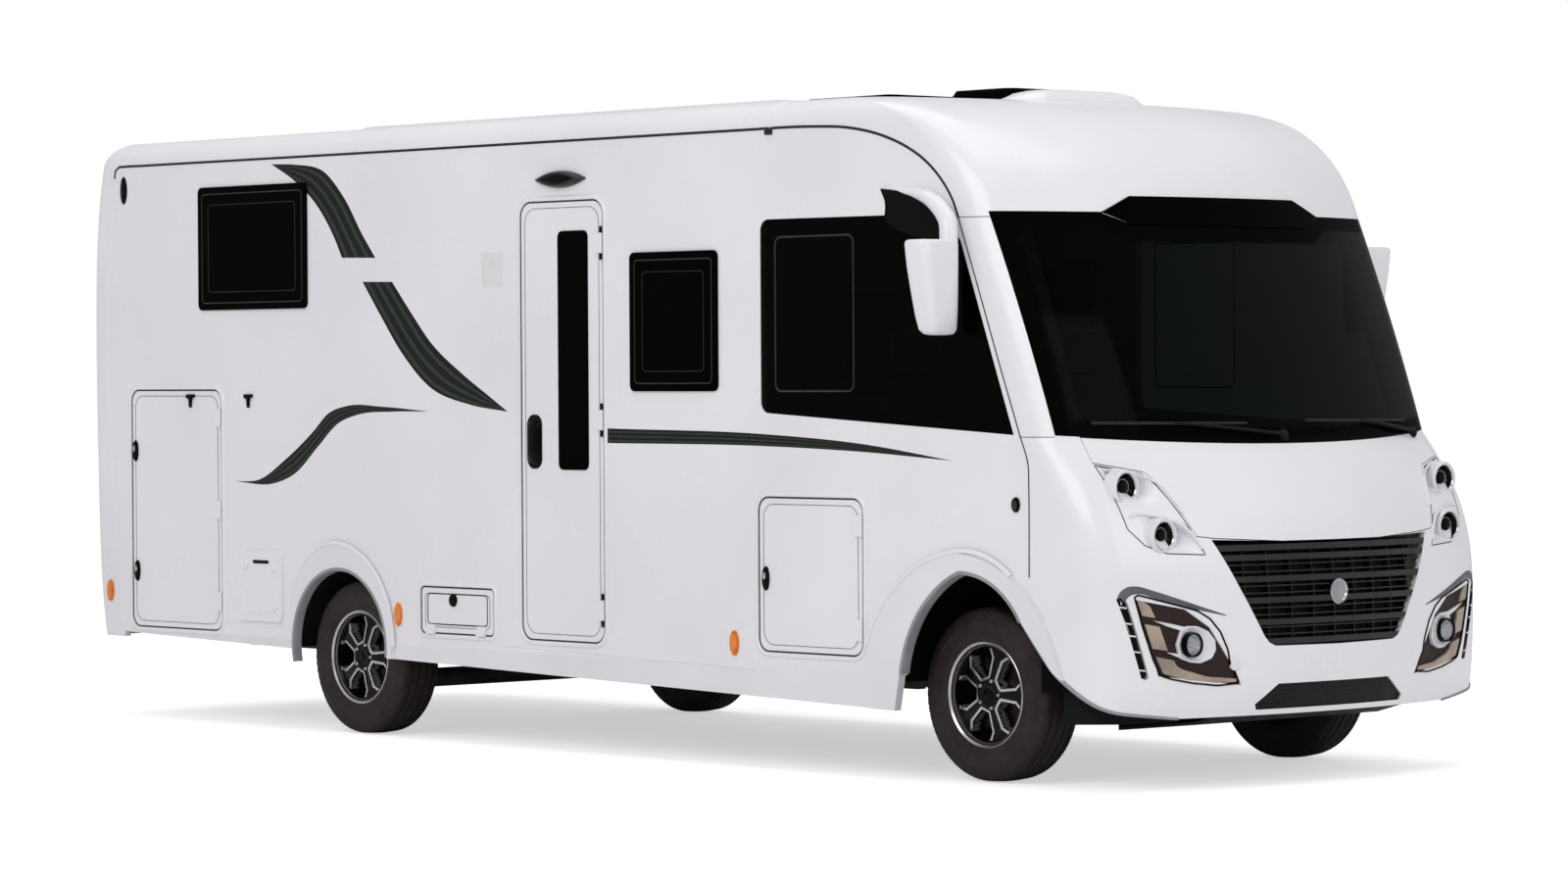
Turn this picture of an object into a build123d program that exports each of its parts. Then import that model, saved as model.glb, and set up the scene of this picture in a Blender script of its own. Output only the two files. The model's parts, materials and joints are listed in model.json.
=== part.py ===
"""A coach-built motorhome on a front-drive cab chassis, as separate pieces.

Millimetres. +X is forward, +Y is the driver's left and +Z is up. The origin
is on the ground under the middle of the vehicle.
"""
import os
from functools import cache
from math import asin, cos, pi, sin, sqrt

from build123d import *

os.makedirs("parts", exist_ok=True)

# ---- driving dimensions -------------------------------------------------
LENGTH = 7450
HALF_WIDTH = 1175
NOSE_X = LENGTH / 2
REAR_X = -LENGTH / 2
ROOF_Z = 2875              # flat top of the roof
EAVES_Z = 2755             # where the side wall ends and the roof edge starts
ROOF_EDGE_R = 120          # rounding from wall to roof
WALL = 34                  # sandwich wall, door leaf and roof thickness
SKIN = 26                  # moulded front shell thickness
WALL_BOTTOM_Z = 440        # lower edge of the side walls
GAP = 4                    # shut line round doors
GLASS = 6                  # acrylic pane thickness
PANE_PROUD = 10            # how far the hinged panes stand off the wall

FRONT_AXLE_X = 2650
REAR_AXLE_X = -1500
TYRE_R = 365
TYRE_W = 225
RIM_R = 222                # radius of the rim flange
HUB_Z = TYRE_R
FRONT_TRACK_Y = 890        # middle of the tyre from the centre line
REAR_TRACK_Y = 1010
KINGPIN_Y = 800

FRONT_ARC_R = 3030         # plan curve of the whole front
CORNER_R = 200             # plan curve where the front turns into the side
SHELL_BACK_X = 1530        # rear edge of the moulded front shell
SEAM_X = 3102              # upright seam between side wall and front mask
FLOOR_Z = 520
FLOOR_T = 50
GARAGE_FLOOR_Z = 440
GARAGE_X = -2400           # front of the rear garage

SIDES = {"right": -1, "left": 1}


# ---- shared outlines ----------------------------------------------------
def eaves_half_width(z):
    """Half width of the body at height z, following the roof edge rounding."""
    if z <= EAVES_Z:
        return HALF_WIDTH
    rise = min(z - EAVES_Z, ROOF_EDGE_R)
    return HALF_WIDTH - ROOF_EDGE_R + sqrt(ROOF_EDGE_R**2 - rise**2)


def flip(point):
    """The mirror point on the right-hand side."""
    return (point[0], -point[1])


def plan_points(nose, half_width, inset):
    """Corner points and arc mid points of the plan outline of the front."""
    big = FRONT_ARC_R - inset
    small = CORNER_R - inset
    nose_in = nose - inset
    yc = half_width - CORNER_R
    xc = nose_in - big + sqrt((big - small)**2 - yc**2)
    turn = asin(yc / (big - small))
    middle = (turn + pi / 2) / 2
    tangent = (xc + small * cos(turn), yc + small * sin(turn))
    bulge = (xc + small * cos(middle), yc + small * sin(middle))
    return (xc, yc + small), bulge, tangent, (nose_in, 0)


# height, x of the nose on the centre line
MASK_SECTIONS = [(300, 3690), (420, 3715), (600, 3725), (800, 3725), (1040, 3690), (1237, 3600),
                 (1435, 3445)]
SCREEN_SECTIONS = [(1435, 3445), (1900, 3275), (2366, 3080)]
BROW_SECTIONS = [(2366, 3080), (2450, 3045), (2600, 2945), (2700, 2835), (2755, 2750)]
CAP_SECTIONS = [(2755, 2750), (2800, 2650), (2840, 2510), (2864, 2360), (2875, 2190)]


INNER_TOP_Z = ROOF_Z - WALL


@cache
def front_block(insets, back=SHELL_BACK_X):
    """Solid form of the front, moved inwards by one inset for each table."""
    tables = (MASK_SECTIONS, SCREEN_SECTIONS, BROW_SECTIONS, CAP_SECTIONS)
    with BuildPart() as block:
        for table, inset in zip(tables, insets):
            for z, nose in table:
                side, bulge, tangent, tip = plan_points(nose, eaves_half_width(z), inset)
                with BuildSketch(Plane.XY.offset(z)):
                    with BuildLine():
                        Polyline((back, side[1]), (back, -side[1]), flip(side))
                        ThreePointArc(flip(side), flip(bulge), flip(tangent))
                        ThreePointArc(flip(tangent), tip, tangent)
                        ThreePointArc(tangent, bulge, side)
                        Line(side, (back, side[1]))
                    make_face()
            loft()
    return block.part


@cache
def skin_layer(outer, inner):
    """Layer of the front form between two depths below its outer face."""
    with BuildPart() as layer:
        add(front_block((outer,) * 4))
        add(front_block((inner,) * 4, SHELL_BACK_X - 1), mode=Mode.SUBTRACT)
    return layer.part


def front_prism(points, sides=(-1, 1), grow=0):
    """Prism along X over a polygon of (y, z) points, for each side given."""
    with BuildPart() as prism:
        for side in sides:
            with BuildSketch(Plane.YZ.offset(PRISM_BACK_X)):
                with BuildLine():
                    Polyline([(side * y, z) for y, z in points], close=True)
                make_face()
                if grow:
                    offset(amount=grow, kind=Kind.INTERSECTION)
            extrude(amount=PRISM_LENGTH)
    return prism.part


def wall_plane(side, outside=0):
    """Upright plane beside a side wall; x is forward and z is up on both sides."""
    return Plane.XZ.offset(-side * (HALF_WIDTH + outside))


PRISM_BACK_X = 2100
PRISM_LENGTH = 2000

# ---- openings in the side walls ------------------------------------------
# x of the rear edge, x of the front edge, lower z, upper z, corner radius
ENTRY_DOOR = (-179, 406, 501, 2485, 70)
GARAGE_DOOR = (-3294, -2526, 456, 1637, 60)
LOCKER_DOOR = (1446, 2106, 509, 1173, 60)
SERVICE_HATCH = (-934, -391, 505, 721, 25)
REAR_WINDOW = (-2700, -1807, 2028, 2631, 30)
FRONT_WINDOW = (598, 1187, 1628, 2242, 30)
LOUNGE_WINDOW = (-900, 100, 1560, 2150, 30)
ENTRY_DOOR_WINDOW = (90, 300, 1275, 2350, 30)

# outline of the cab side window, (x, z), and of the seam behind the A pillar
CAB_WINDOW = [(1462, 2366), (2603, 2362), (2708, 2248), (3015, 1448), (1462, 1536)]
CAB_WINDOW_R = 50          # its two rear corners
PILLAR_SEAM = [(SEAM_X, 1313), (3047, 1456), (2697, 2341)]
EAVES_CURVE = [(2697, 2341), (2476, 2624), (1934, EAVES_Z)]

# wheel arch outlines, (x, z): start, then mid and end points of each arc
FRONT_ARCH = {
    "start": (2290, 200),
    "rise": (2340, 450),
    "arcs": [((2475, 735), (2700, 885)), ((2905, 835), (3060, 690))],
    "run_out": [(3240, 490), (3374, 405), (3590, 285), (3590, 200)],
}
REAR_ARCH = {
    "start": (-1925, 200),
    "rise": (-1925, 330),
    "arcs": [((-1560, 790), (-1190, 380))],
    "run_out": [(-1190, 200)],
}


# raised bands round the wheel arches, listed the same way
FRONT_FLARE = {
    "start": (2135, 200),
    "rise": (2135, 560),
    "arcs": [((2325, 820), (2690, 968)), ((2985, 884), (3180, 715))],
    "run_out": [(3262, 560), (3300, 452), (3300, 200)],
}
REAR_FLARE = {
    "start": (-1955, 200),
    "rise": (-1955, 430),
    "arcs": [((-1868, 780), (-1600, 910)), ((-1275, 770), (-1142, 430))],
    "run_out": [(-1142, 200)],
}
FLARE_T = 14
FLARE_STEP = 9


def side_block(side, outline, outside, depth, rear_radius=0):
    """Block under a closed (x, z) outline, from outside the wall inwards."""
    with BuildPart() as block:
        with BuildSketch(wall_plane(side, outside)) as face:
            with BuildLine():
                Polyline(outline, close=True)
            make_face()
            if rear_radius:
                fillet(face.vertices().group_by(Axis.X)[0], rear_radius)
        extrude(amount=side * depth)
    return block.part


def opening_block(side, box, shrink, outside, depth):
    """Rounded block at an opening, from outside the wall inwards."""
    x0, x1, z0, z1, radius = box
    with BuildPart() as block:
        with BuildSketch(wall_plane(side, outside)):
            with Locations(((x0 + x1) / 2, (z0 + z1) / 2)):
                RectangleRounded(x1 - x0 - 2 * shrink, z1 - z0 - 2 * shrink, max(radius - shrink, 5))
        extrude(amount=side * depth)
    return block.part


def arch_block(side, arch, outside, depth, grow=0):
    """Block that fills a wheel arch, its outline grown by grow."""
    with BuildPart() as block:
        with BuildSketch(wall_plane(side, outside)):
            with BuildLine():
                Line(arch["start"], arch["rise"])
                point = arch["rise"]
                for middle, end in arch["arcs"]:
                    ThreePointArc(point, middle, end)
                    point = end
                Polyline(point, *arch["run_out"], arch["start"])
            make_face()
            if grow:
                offset(amount=grow, kind=Kind.INTERSECTION)
        extrude(amount=side * depth)
    return block.part


def flare_block(side, flare):
    """Raised band round a wheel arch with a step along its outer edge."""
    with BuildPart() as band:
        add(arch_block(side, flare, FLARE_T / 2, FLARE_T / 2))
        add(arch_block(side, flare, FLARE_T, FLARE_T, -FLARE_STEP))
    return band.part


def finish(part, name):
    """Label a finished piece and write its file."""
    part.label = name
    export_step(part, f"parts/{name}.step")


def box_at(x0, x1, y0, y1, z0, z1):
    """Box between two corners, for plain structure."""
    centre = Pos((x0 + x1) / 2, (y0 + y1) / 2, (z0 + z1) / 2)
    return centre * Box(x1 - x0, abs(y1 - y0), z1 - z0, mode=Mode.PRIVATE)


# ---- side walls -----------------------------------------------------------
REAR_SEAM = [(-3370, WALL_BOTTOM_Z), (-3508, 1726), (-3424, EAVES_Z)]
OPENINGS = {
    "right": (ENTRY_DOOR, GARAGE_DOOR, LOCKER_DOOR, SERVICE_HATCH, REAR_WINDOW, FRONT_WINDOW),
    "left": (GARAGE_DOOR, LOCKER_DOOR, REAR_WINDOW, FRONT_WINDOW, LOUNGE_WINDOW),
}
WINDOWS = {
    "right": (REAR_WINDOW, FRONT_WINDOW),
    "left": (REAR_WINDOW, FRONT_WINDOW, LOUNGE_WINDOW),
}
WINDOW_LIP = 22            # the hinged pane overlaps its opening by this much
THROUGH = 60               # cutting depth that passes a wall
GLASS_SET_IN = 4           # the cab window lies this far below the wall's face

for name, side in SIDES.items():
    with BuildPart() as side_wall:
        with BuildSketch(wall_plane(side)):
            with BuildLine():
                ThreePointArc(*REAR_SEAM)
                Line(REAR_SEAM[2], EAVES_CURVE[2])
                ThreePointArc(*reversed(EAVES_CURVE))
                Polyline(*reversed(PILLAR_SEAM), (SEAM_X, WALL_BOTTOM_Z), REAR_SEAM[0])
            make_face()
        extrude(amount=side * WALL)
        for box in OPENINGS[name]:
            shrink = WINDOW_LIP if box in WINDOWS[name] else 0
            add(opening_block(side, box, shrink, 5, THROUGH), mode=Mode.SUBTRACT)
        add(side_block(side, CAB_WINDOW, 5, THROUGH, CAB_WINDOW_R), mode=Mode.SUBTRACT)
        for arch in (FRONT_ARCH, REAR_ARCH):
            add(arch_block(side, arch, 5, THROUGH), mode=Mode.SUBTRACT)
    finish(side_wall.part, f"side_wall_{name}")

    with BuildPart() as body_windows:
        for box in WINDOWS[name]:
            add(opening_block(side, box, 0, PANE_PROUD, PANE_PROUD))
    finish(body_windows.part, f"body_windows_{name}")

    with BuildPart() as cab_window:
        add(side_block(side, CAB_WINDOW, -GLASS_SET_IN, GLASS, CAB_WINDOW_R))
    finish(cab_window.part, f"cab_window_{name}")

# ---- moulded front ----------------------------------------------------------
CAP_SPLIT_Z = 2345         # seam between the front mask and the roof cap
CAP_INSETS = (SKIN, SKIN, 34, 80)

BONNET = [(0, 1004), (300, 1005), (635, 1023), (721, 1033), (818, 1255), (857, 1295),
          (1053, 1333), (1040, 1446)]
HEADLAMP_MODULE = [(1048, 1326), (864, 1288), (827, 1246), (694, 961), (868, 969), (957, 1002), (1018, 1070)]
GRILLE_OPENING = [(0, 1006), (300, 1007), (655, 1020), (540, 820), (420, 625), (395, 597), (360, 582), (0, 578)]
LOWER_GRILLE = [(-450, 345), (-337, 426), (337, 426), (450, 345), (440, 322), (-440, 322)]
FOG_BEZEL = [(1024, 788), (802, 743), (690, 668), (617, 566), (529, 428), (919, 477)]
FOG_SLIT = [(1082, 760), (1060, 790), (1050, 770), (958, 470), (980, 462)]
SCREEN_TOP = 2366
SCREEN = {"upper": (1133, SCREEN_TOP), "lower": (1124, 1446), "middle": (0, 1406)}
NAME_PANEL = [(-660, 2364), (-497, 2434), (497, 2434), (660, 2364), (526, 2313), (-526, 2313)]


def mirrored(points):
    """Close a half outline given from the centre line out and back."""
    return points + [flip_y(p) for p in reversed(points) if p[0] > 0]


def flip_y(point):
    """Mirror a (y, z) point across the centre line."""
    return (-point[0], point[1])


def screen_prism():
    """Prism over the windscreen outline, its lower edge a shallow arc."""
    upper = SCREEN["upper"]
    lower = SCREEN["lower"]
    with BuildPart() as prism:
        with BuildSketch(Plane.YZ.offset(PRISM_BACK_X)):
            with BuildLine():
                Polyline(flip_y(lower), flip_y(upper), upper, lower)
                ThreePointArc(lower, SCREEN["middle"], flip_y(lower))
            make_face()
        extrude(amount=PRISM_LENGTH)
    return prism.part


bonnet_prism = front_prism(mirrored(BONNET), sides=(1,))
grille_prism = front_prism(mirrored(GRILLE_OPENING), sides=(1,))
name_prism = front_prism(NAME_PANEL, sides=(1,))
lower_prism = front_prism(LOWER_GRILLE, sides=(1,))
module_prism = front_prism(HEADLAMP_MODULE)
fog_prism = front_prism(FOG_BEZEL)
slit_prism = front_prism(FOG_SLIT)
screen_cutter = screen_prism()

with BuildPart() as shell:
    add(front_block((0, 0, 0, 0)))
    add(front_block(CAP_INSETS, SHELL_BACK_X - 1) & box_at(1000, 4000, -1300, 1300, 200, INNER_TOP_Z),
        mode=Mode.SUBTRACT)
    with BuildSketch(Plane.XZ.offset(-HALF_WIDTH - 5)):
        with BuildLine():
            Polyline((1000, 200), (1000, EAVES_Z), EAVES_CURVE[2])
            ThreePointArc(*reversed(EAVES_CURVE))
            Polyline(*reversed(PILLAR_SEAM), (SEAM_X, 200), (1000, 200))
        make_face()
    extrude(amount=2 * HALF_WIDTH + 10, mode=Mode.SUBTRACT)
    add(screen_cutter, mode=Mode.SUBTRACT)
    add(name_prism, mode=Mode.SUBTRACT)

with BuildPart() as front_cap:
    add(shell.part)
    add(box_at(1000, 4000, -1300, 1300, 0, CAP_SPLIT_Z), mode=Mode.SUBTRACT)
finish(front_cap.part, "front_cap")

with BuildPart() as front_mask:
    add(shell.part)
    add(box_at(1000, 4000, -1300, 1300, CAP_SPLIT_Z, 3000), mode=Mode.SUBTRACT)
    for cutter in (bonnet_prism, grille_prism, lower_prism, module_prism, fog_prism, slit_prism):
        add(cutter, mode=Mode.SUBTRACT)
    add(arch_block(1, FRONT_ARCH, 5, 2 * HALF_WIDTH + 10), mode=Mode.SUBTRACT)
finish(front_mask.part, "front_mask")

with BuildPart() as windscreen:
    add(skin_layer(0, GLASS))
    add(screen_cutter, mode=Mode.INTERSECT)
    add(name_prism, mode=Mode.SUBTRACT)
finish(windscreen.part, "windscreen")

with BuildPart() as name_panel:
    add(skin_layer(-8, 14))
    add(name_prism, mode=Mode.INTERSECT)
finish(name_panel.part, "name_panel")

with BuildPart() as bonnet:
    add(skin_layer(0, SKIN))
    add(front_prism(mirrored(BONNET), sides=(1,), grow=-GAP), mode=Mode.INTERSECT)
    add(Pos(0, 0, -GAP) * screen_cutter, mode=Mode.SUBTRACT)
finish(bonnet.part, "bonnet")

# ---- front grilles and lamps --------------------------------------------------
BAR_HEIGHTS = (984, 944, 856, 769, 680, 600)
BAR_HALF = 12
BAR_SET_IN = 2
LOUVRE_PITCH = 29          # thin slats behind the bars
LOUVRE_HALF = 2.5
LOUVRE_SET_IN = 16
GRILLE_DEPTH = 46
BADGE_Z = 794
BADGE_R = 52

with BuildPart() as louvres:
    for bar in BAR_HEIGHTS[2:]:
        for z in (bar + LOUVRE_PITCH, bar + 2 * LOUVRE_PITCH):
            add(box_at(3000, 4000, -1000, 1000, z - LOUVRE_HALF, z + LOUVRE_HALF))
    add(skin_layer(LOUVRE_SET_IN, GRILLE_DEPTH), mode=Mode.INTERSECT)

with BuildPart() as grille:
    for z in BAR_HEIGHTS:
        add(box_at(3000, 4000, -1000, 1000, z - BAR_HALF, z + BAR_HALF))
    add(skin_layer(BAR_SET_IN, GRILLE_DEPTH), mode=Mode.INTERSECT)
    add(louvres.part)
    add(grille_prism, mode=Mode.INTERSECT)
    with BuildSketch(Plane.YZ.offset(NOSE_X - 40)):
        with Locations((0, BADGE_Z)):
            Circle(BADGE_R)
    extrude(amount=38)
finish(grille.part, "grille")

with BuildPart() as lower_grille:
    add(skin_layer(8, 14))
    add(lower_prism, mode=Mode.INTERSECT)
finish(lower_grille.part, "lower_grille")

# y, z and x of the middle of each lamp's front, and its radius
HEADLAMPS = ((975, 1237, 3452, 50), (875, 1040, 3566, 50))
FOG_LAMPS = ((776, 600, 3632, 42),)
LAMP_DEPTH = 60
BEZEL_GROW = 7
RING_GROW = 21             # outer radius of the ring round a headlamp, past the lens
RING_DEPTH = 40


def lamp_cylinders(table, depth, grow, setback=0):
    """Forward-facing cylinders at both sides for each row of a lamp table."""
    with BuildPart() as lamps:
        for y, z, x, radius in table:
            for side in (-1, 1):
                with BuildSketch(Plane.YZ.offset(x - setback)):
                    with Locations((side * y, z)):
                        Circle(radius + grow)
                extrude(amount=-depth)
    return lamps.part


with BuildPart() as headlamp_modules:
    add(skin_layer(0, SKIN))
    add(lamp_cylinders(HEADLAMPS, RING_DEPTH, RING_GROW))
    add(module_prism, mode=Mode.INTERSECT)
    add(lamp_cylinders(HEADLAMPS, 200, BEZEL_GROW, -60), mode=Mode.SUBTRACT)
finish(headlamp_modules.part, "headlamp_modules")

with BuildPart() as headlamps:
    add(lamp_cylinders(HEADLAMPS, LAMP_DEPTH, BEZEL_GROW))
finish(headlamps.part, "headlamps")

with BuildPart() as fog_bezels:
    add(skin_layer(14, SKIN))
    add(fog_prism, mode=Mode.INTERSECT)
    add(lamp_cylinders(FOG_LAMPS, 200, BEZEL_GROW, -60), mode=Mode.SUBTRACT)
finish(fog_bezels.part, "fog_bezels")

with BuildPart() as fog_lamps:
    add(lamp_cylinders(FOG_LAMPS, LAMP_DEPTH, BEZEL_GROW))
finish(fog_lamps.part, "fog_lamps")

# ---- roof -----------------------------------------------------------------
ROOF_BACK_X = -3424
ROOF_STEP = 12             # the middle of the roof stands this much higher
RAISED_ROOF = [(-1560, ROOF_Z), (-1500, ROOF_Z + ROOF_STEP), (1440, ROOF_Z + ROOF_STEP), (1530, ROOF_Z)]
RAISED_HALF = 1040
# x, y, length and width of the opening, height of the roof there
SKYLIGHTS = (
    (-2350, 0, 400, 400, ROOF_Z),
    (-300, 0, 500, 700, ROOF_Z + ROOF_STEP),
    (1100, 0, 500, 600, ROOF_Z + ROOF_STEP),
)
SKYLIGHT_H = 50

with BuildPart() as roof:
    with BuildSketch(Plane.YZ.offset(ROOF_BACK_X)):
        with BuildLine():
            edge = HALF_WIDTH - ROOF_EDGE_R
            slope = ROOF_EDGE_R * sqrt(0.5)
            Polyline((-edge, ROOF_Z), (edge, ROOF_Z))
            ThreePointArc((edge, ROOF_Z), (edge + slope, EAVES_Z + slope), (HALF_WIDTH, EAVES_Z))
            Polyline((HALF_WIDTH, EAVES_Z), (HALF_WIDTH - WALL, EAVES_Z), (edge - 20, ROOF_Z - WALL),
                     (20 - edge, ROOF_Z - WALL), (WALL - HALF_WIDTH, EAVES_Z), (-HALF_WIDTH, EAVES_Z))
            ThreePointArc((-HALF_WIDTH, EAVES_Z), (-edge - slope, EAVES_Z + slope), (-edge, ROOF_Z))
        make_face()
    extrude(amount=SHELL_BACK_X - ROOF_BACK_X)
    with BuildSketch(Plane.XZ.offset(-RAISED_HALF)):
        with BuildLine():
            Polyline(RAISED_ROOF, close=True)
        make_face()
    extrude(amount=2 * RAISED_HALF)
    for x, y, length, width, _ in SKYLIGHTS:
        add(box_at(x - length / 2, x + length / 2, y - width / 2, y + width / 2, 2700, 3000),
            mode=Mode.SUBTRACT)
finish(roof.part, "roof")

with BuildPart() as skylights:
    for x, y, length, width, base in SKYLIGHTS:
        with BuildSketch(Plane.XY.offset(base)):
            with Locations((x, y)):
                RectangleRounded(length + 80, width + 80, 40)
        extrude(amount=SKYLIGHT_H, taper=20)
finish(skylights.part, "skylights")

# ---- rear -----------------------------------------------------------------
REAR_CORNER_R = 75
REAR_ARC_R = 9000
REAR_SPLIT_Z = 640
# height, x of the rearmost point on the centre line
REAR_SECTIONS = [(400, -3650), (640, -3688), (1000, -3710), (1726, REAR_X), (2300, -3715), (2600, -3682),
                 (2755, -3648)]
REAR_CAP_SECTIONS = [(2755, -3648), (2815, -3620), (2855, -3570), (2875, -3480)]


@cache
def rear_block(inset, front):
    """Solid form of the rear, moved inwards by inset."""
    with BuildPart() as block:
        for table in (REAR_SECTIONS, REAR_CAP_SECTIONS):
            for z, tail in table:
                big = REAR_ARC_R - inset
                small = REAR_CORNER_R - inset
                half = eaves_half_width(z)
                yc = half - REAR_CORNER_R
                xc = tail + inset + big - sqrt((big - small)**2 - yc**2)
                turn = asin(yc / (big - small))
                middle = (turn + pi / 2) / 2
                tangent = (xc - small * cos(turn), yc + small * sin(turn))
                bulge = (xc - small * cos(middle), yc + small * sin(middle))
                side = (xc, yc + small)
                with BuildSketch(Plane.XY.offset(z)):
                    with BuildLine():
                        Polyline(flip(side), (front, -side[1]), (front, side[1]), side)
                        ThreePointArc(side, bulge, tangent)
                        ThreePointArc(tangent, (tail + inset, 0), flip(tangent))
                        ThreePointArc(flip(tangent), flip(bulge), flip(side))
                    make_face()
            loft()
    return block.part


REAR_CUT_X = -3100
with BuildPart() as rear_shell:
    add(rear_block(0, REAR_CUT_X))
    add(rear_block(WALL, REAR_CUT_X + 1) & box_at(-4000, -3000, -1300, 1300, 300, INNER_TOP_Z),
        mode=Mode.SUBTRACT)
    with BuildSketch(Plane.XZ.offset(-HALF_WIDTH - 5)):
        with BuildLine():
            ThreePointArc(*REAR_SEAM)
            Polyline(REAR_SEAM[2], (ROOF_BACK_X, 3000), (-3000, 3000), (-3000, 300), (REAR_SEAM[0][0], 300),
                     REAR_SEAM[0])
        make_face()
    extrude(amount=2 * HALF_WIDTH + 10, mode=Mode.SUBTRACT)

with BuildPart() as rear_wall:
    add(rear_shell.part)
    add(box_at(-4000, -3000, -1300, 1300, 300, REAR_SPLIT_Z), mode=Mode.SUBTRACT)
finish(rear_wall.part, "rear_wall")

TAIL_LAMPS = ((1000, 545, 150, 70), (820, 545, 150, 70))
with BuildPart() as lamp_boxes:
    for y, z, width, height in TAIL_LAMPS:
        for side in (-1, 1):
            add(box_at(-4000, -3480, side * y - width / 2, side * y + width / 2, z - height / 2, z + height / 2))

with BuildPart() as rear_bumper:
    add(rear_shell.part)
    add(box_at(-4000, -3000, -1300, 1300, REAR_SPLIT_Z, 3000), mode=Mode.SUBTRACT)
    add(lamp_boxes.part, mode=Mode.SUBTRACT)
finish(rear_bumper.part, "rear_bumper")

with BuildPart() as tail_lamps:
    add(rear_block(-2, REAR_CUT_X))
    add(rear_block(WALL, REAR_CUT_X + 1), mode=Mode.SUBTRACT)
    add(lamp_boxes.part, mode=Mode.INTERSECT)
finish(tail_lamps.part, "tail_lamps")

# ---- skirts, floor and wheel houses ----------------------------------------
SKIRT_T = 24
SKIRT_BOTTOM = [(-3370, 428), (-3162, 420), (2290, 292), (SEAM_X, 292)]
SKIRT = [(-3370, WALL_BOTTOM_Z), *SKIRT_BOTTOM, (SEAM_X, WALL_BOTTOM_Z)]
BELOW_SKIRT = [(-3370, 100), *SKIRT_BOTTOM, (SEAM_X, 100)]

for name, side in SIDES.items():
    with BuildPart() as skirt:
        add(side_block(side, SKIRT, 0, SKIRT_T))
        for flare in (FRONT_FLARE, REAR_FLARE):
            add(flare_block(side, flare))
        for arch in (FRONT_ARCH, REAR_ARCH):
            add(arch_block(side, arch, FLARE_T + 5, THROUGH), mode=Mode.SUBTRACT)
        add(side_block(side, BELOW_SKIRT, FLARE_T + 5, THROUGH), mode=Mode.SUBTRACT)
    finish(skirt.part, f"skirt_{name}")

LINER_T = 5
ARM_SLOT_TOP_Z = 520       # the suspension arms pass through the liner below this
ARM_SLOT_HALF = 110
FRONT_WELL_Y = 585         # inner wall of the front wheel houses
REAR_WELL_Y = 830
FLOOR_OUTLINE = [(-3400, GARAGE_FLOOR_Z), (-3400, GARAGE_FLOOR_Z + FLOOR_T), (GARAGE_X, GARAGE_FLOOR_Z + FLOOR_T),
                 (GARAGE_X, FLOOR_Z + FLOOR_T), (2760, FLOOR_Z + FLOOR_T), (2760, FLOOR_Z),
                 (GARAGE_X + FLOOR_T, FLOOR_Z), (GARAGE_X + FLOOR_T, GARAGE_FLOOR_Z)]
INSIDE_Y = HALF_WIDTH - WALL
FRONT_WELL = {
    "start": (2200, 200),
    "rise": (2200, 450),
    "arcs": [((2330, 790), (2650, 905)), ((2990, 810), (3130, 480))],
    "run_out": [(3130, 200)],
}
REAR_WELL = {
    "start": (-1935, 200),
    "rise": (-1935, 420),
    "arcs": [((-1500, 800), (-1065, 420))],
    "run_out": [(-1065, 200)],
}
WELLS = ((FRONT_WELL, FRONT_WELL_Y), (REAR_WELL, REAR_WELL_Y))

with BuildPart() as floor:
    with BuildSketch(Plane.XZ.offset(-INSIDE_Y)):
        with BuildLine():
            Polyline(FLOOR_OUTLINE, close=True)
        make_face()
    extrude(amount=2 * INSIDE_Y)
    for arch, well in WELLS:
        for side in (-1, 1):
            add(arch_block(side, arch, -WALL + 1, INSIDE_Y - well + 1, LINER_T), mode=Mode.SUBTRACT)
finish(floor.part, "floor")

with BuildPart() as wheel_houses:
    for arch, well in WELLS:
        for side in (-1, 1):
            add(arch_block(side, arch, -WALL, INSIDE_Y - well, LINER_T))
            add(arch_block(side, arch, -WALL + 1, INSIDE_Y - well - LINER_T + 1, 0), mode=Mode.SUBTRACT)
    add(box_at(-4000, 4000, -1300, 1300, 0, 330), mode=Mode.SUBTRACT)
    for side in (-1, 1):
        add(box_at(FRONT_AXLE_X - ARM_SLOT_HALF, FRONT_AXLE_X + ARM_SLOT_HALF, side * FRONT_WELL_Y - 20,
                   side * FRONT_WELL_Y + 20, 320, ARM_SLOT_TOP_Z), mode=Mode.SUBTRACT)
finish(wheel_houses.part, "wheel_houses")

# ---- wheels and axles ---------------------------------------------------------
# name, x, y of the middle of the tyre
WHEELS = (
    ("front_right", FRONT_AXLE_X, -FRONT_TRACK_Y),
    ("front_left", FRONT_AXLE_X, FRONT_TRACK_Y),
    ("rear_right", REAR_AXLE_X, -REAR_TRACK_Y),
    ("rear_left", REAR_AXLE_X, REAR_TRACK_Y),
)
BEAD_R = 203
RIM_HALF = 96
HUB_R = 78
BORE_R = 30
STUB_R = 29.95
SPOKE_WINDOWS = 5
DISC_OUT = 78              # outer face of the wheel disc from the tyre's middle
DISC_T = 30
# half outline of one window in the wheel disc: radius, half width
DISC_WINDOW = [(76, 24), (142, 60), (172, 54), (186, 38)]
WINDOW_START = 36
BOLT_CIRCLE_R = 65
STUB_END = 64              # end of the stub axle from the tyre's middle
PIN_R = 10
PIN_BORE_R = 10.05
PIN_REACH = 40
LOWER_ARM_Z = HUB_Z - 118
UPPER_ARM_Z = HUB_Z + 118
ARM_H = 26
ARM_ROOT_Y = 450
STRUT_Y = 690
STRUT_R = 24
STRUT_L = 375
STRUT_LEAN = 0.16
BEAM_X = -1260
BEAM_Z = 268
BEAM_R = 45
BEAM_HALF = 885
ARM_T = 40
LUG_R = 26
LUG_GAP = 6
LUG_INSET = 100

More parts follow.
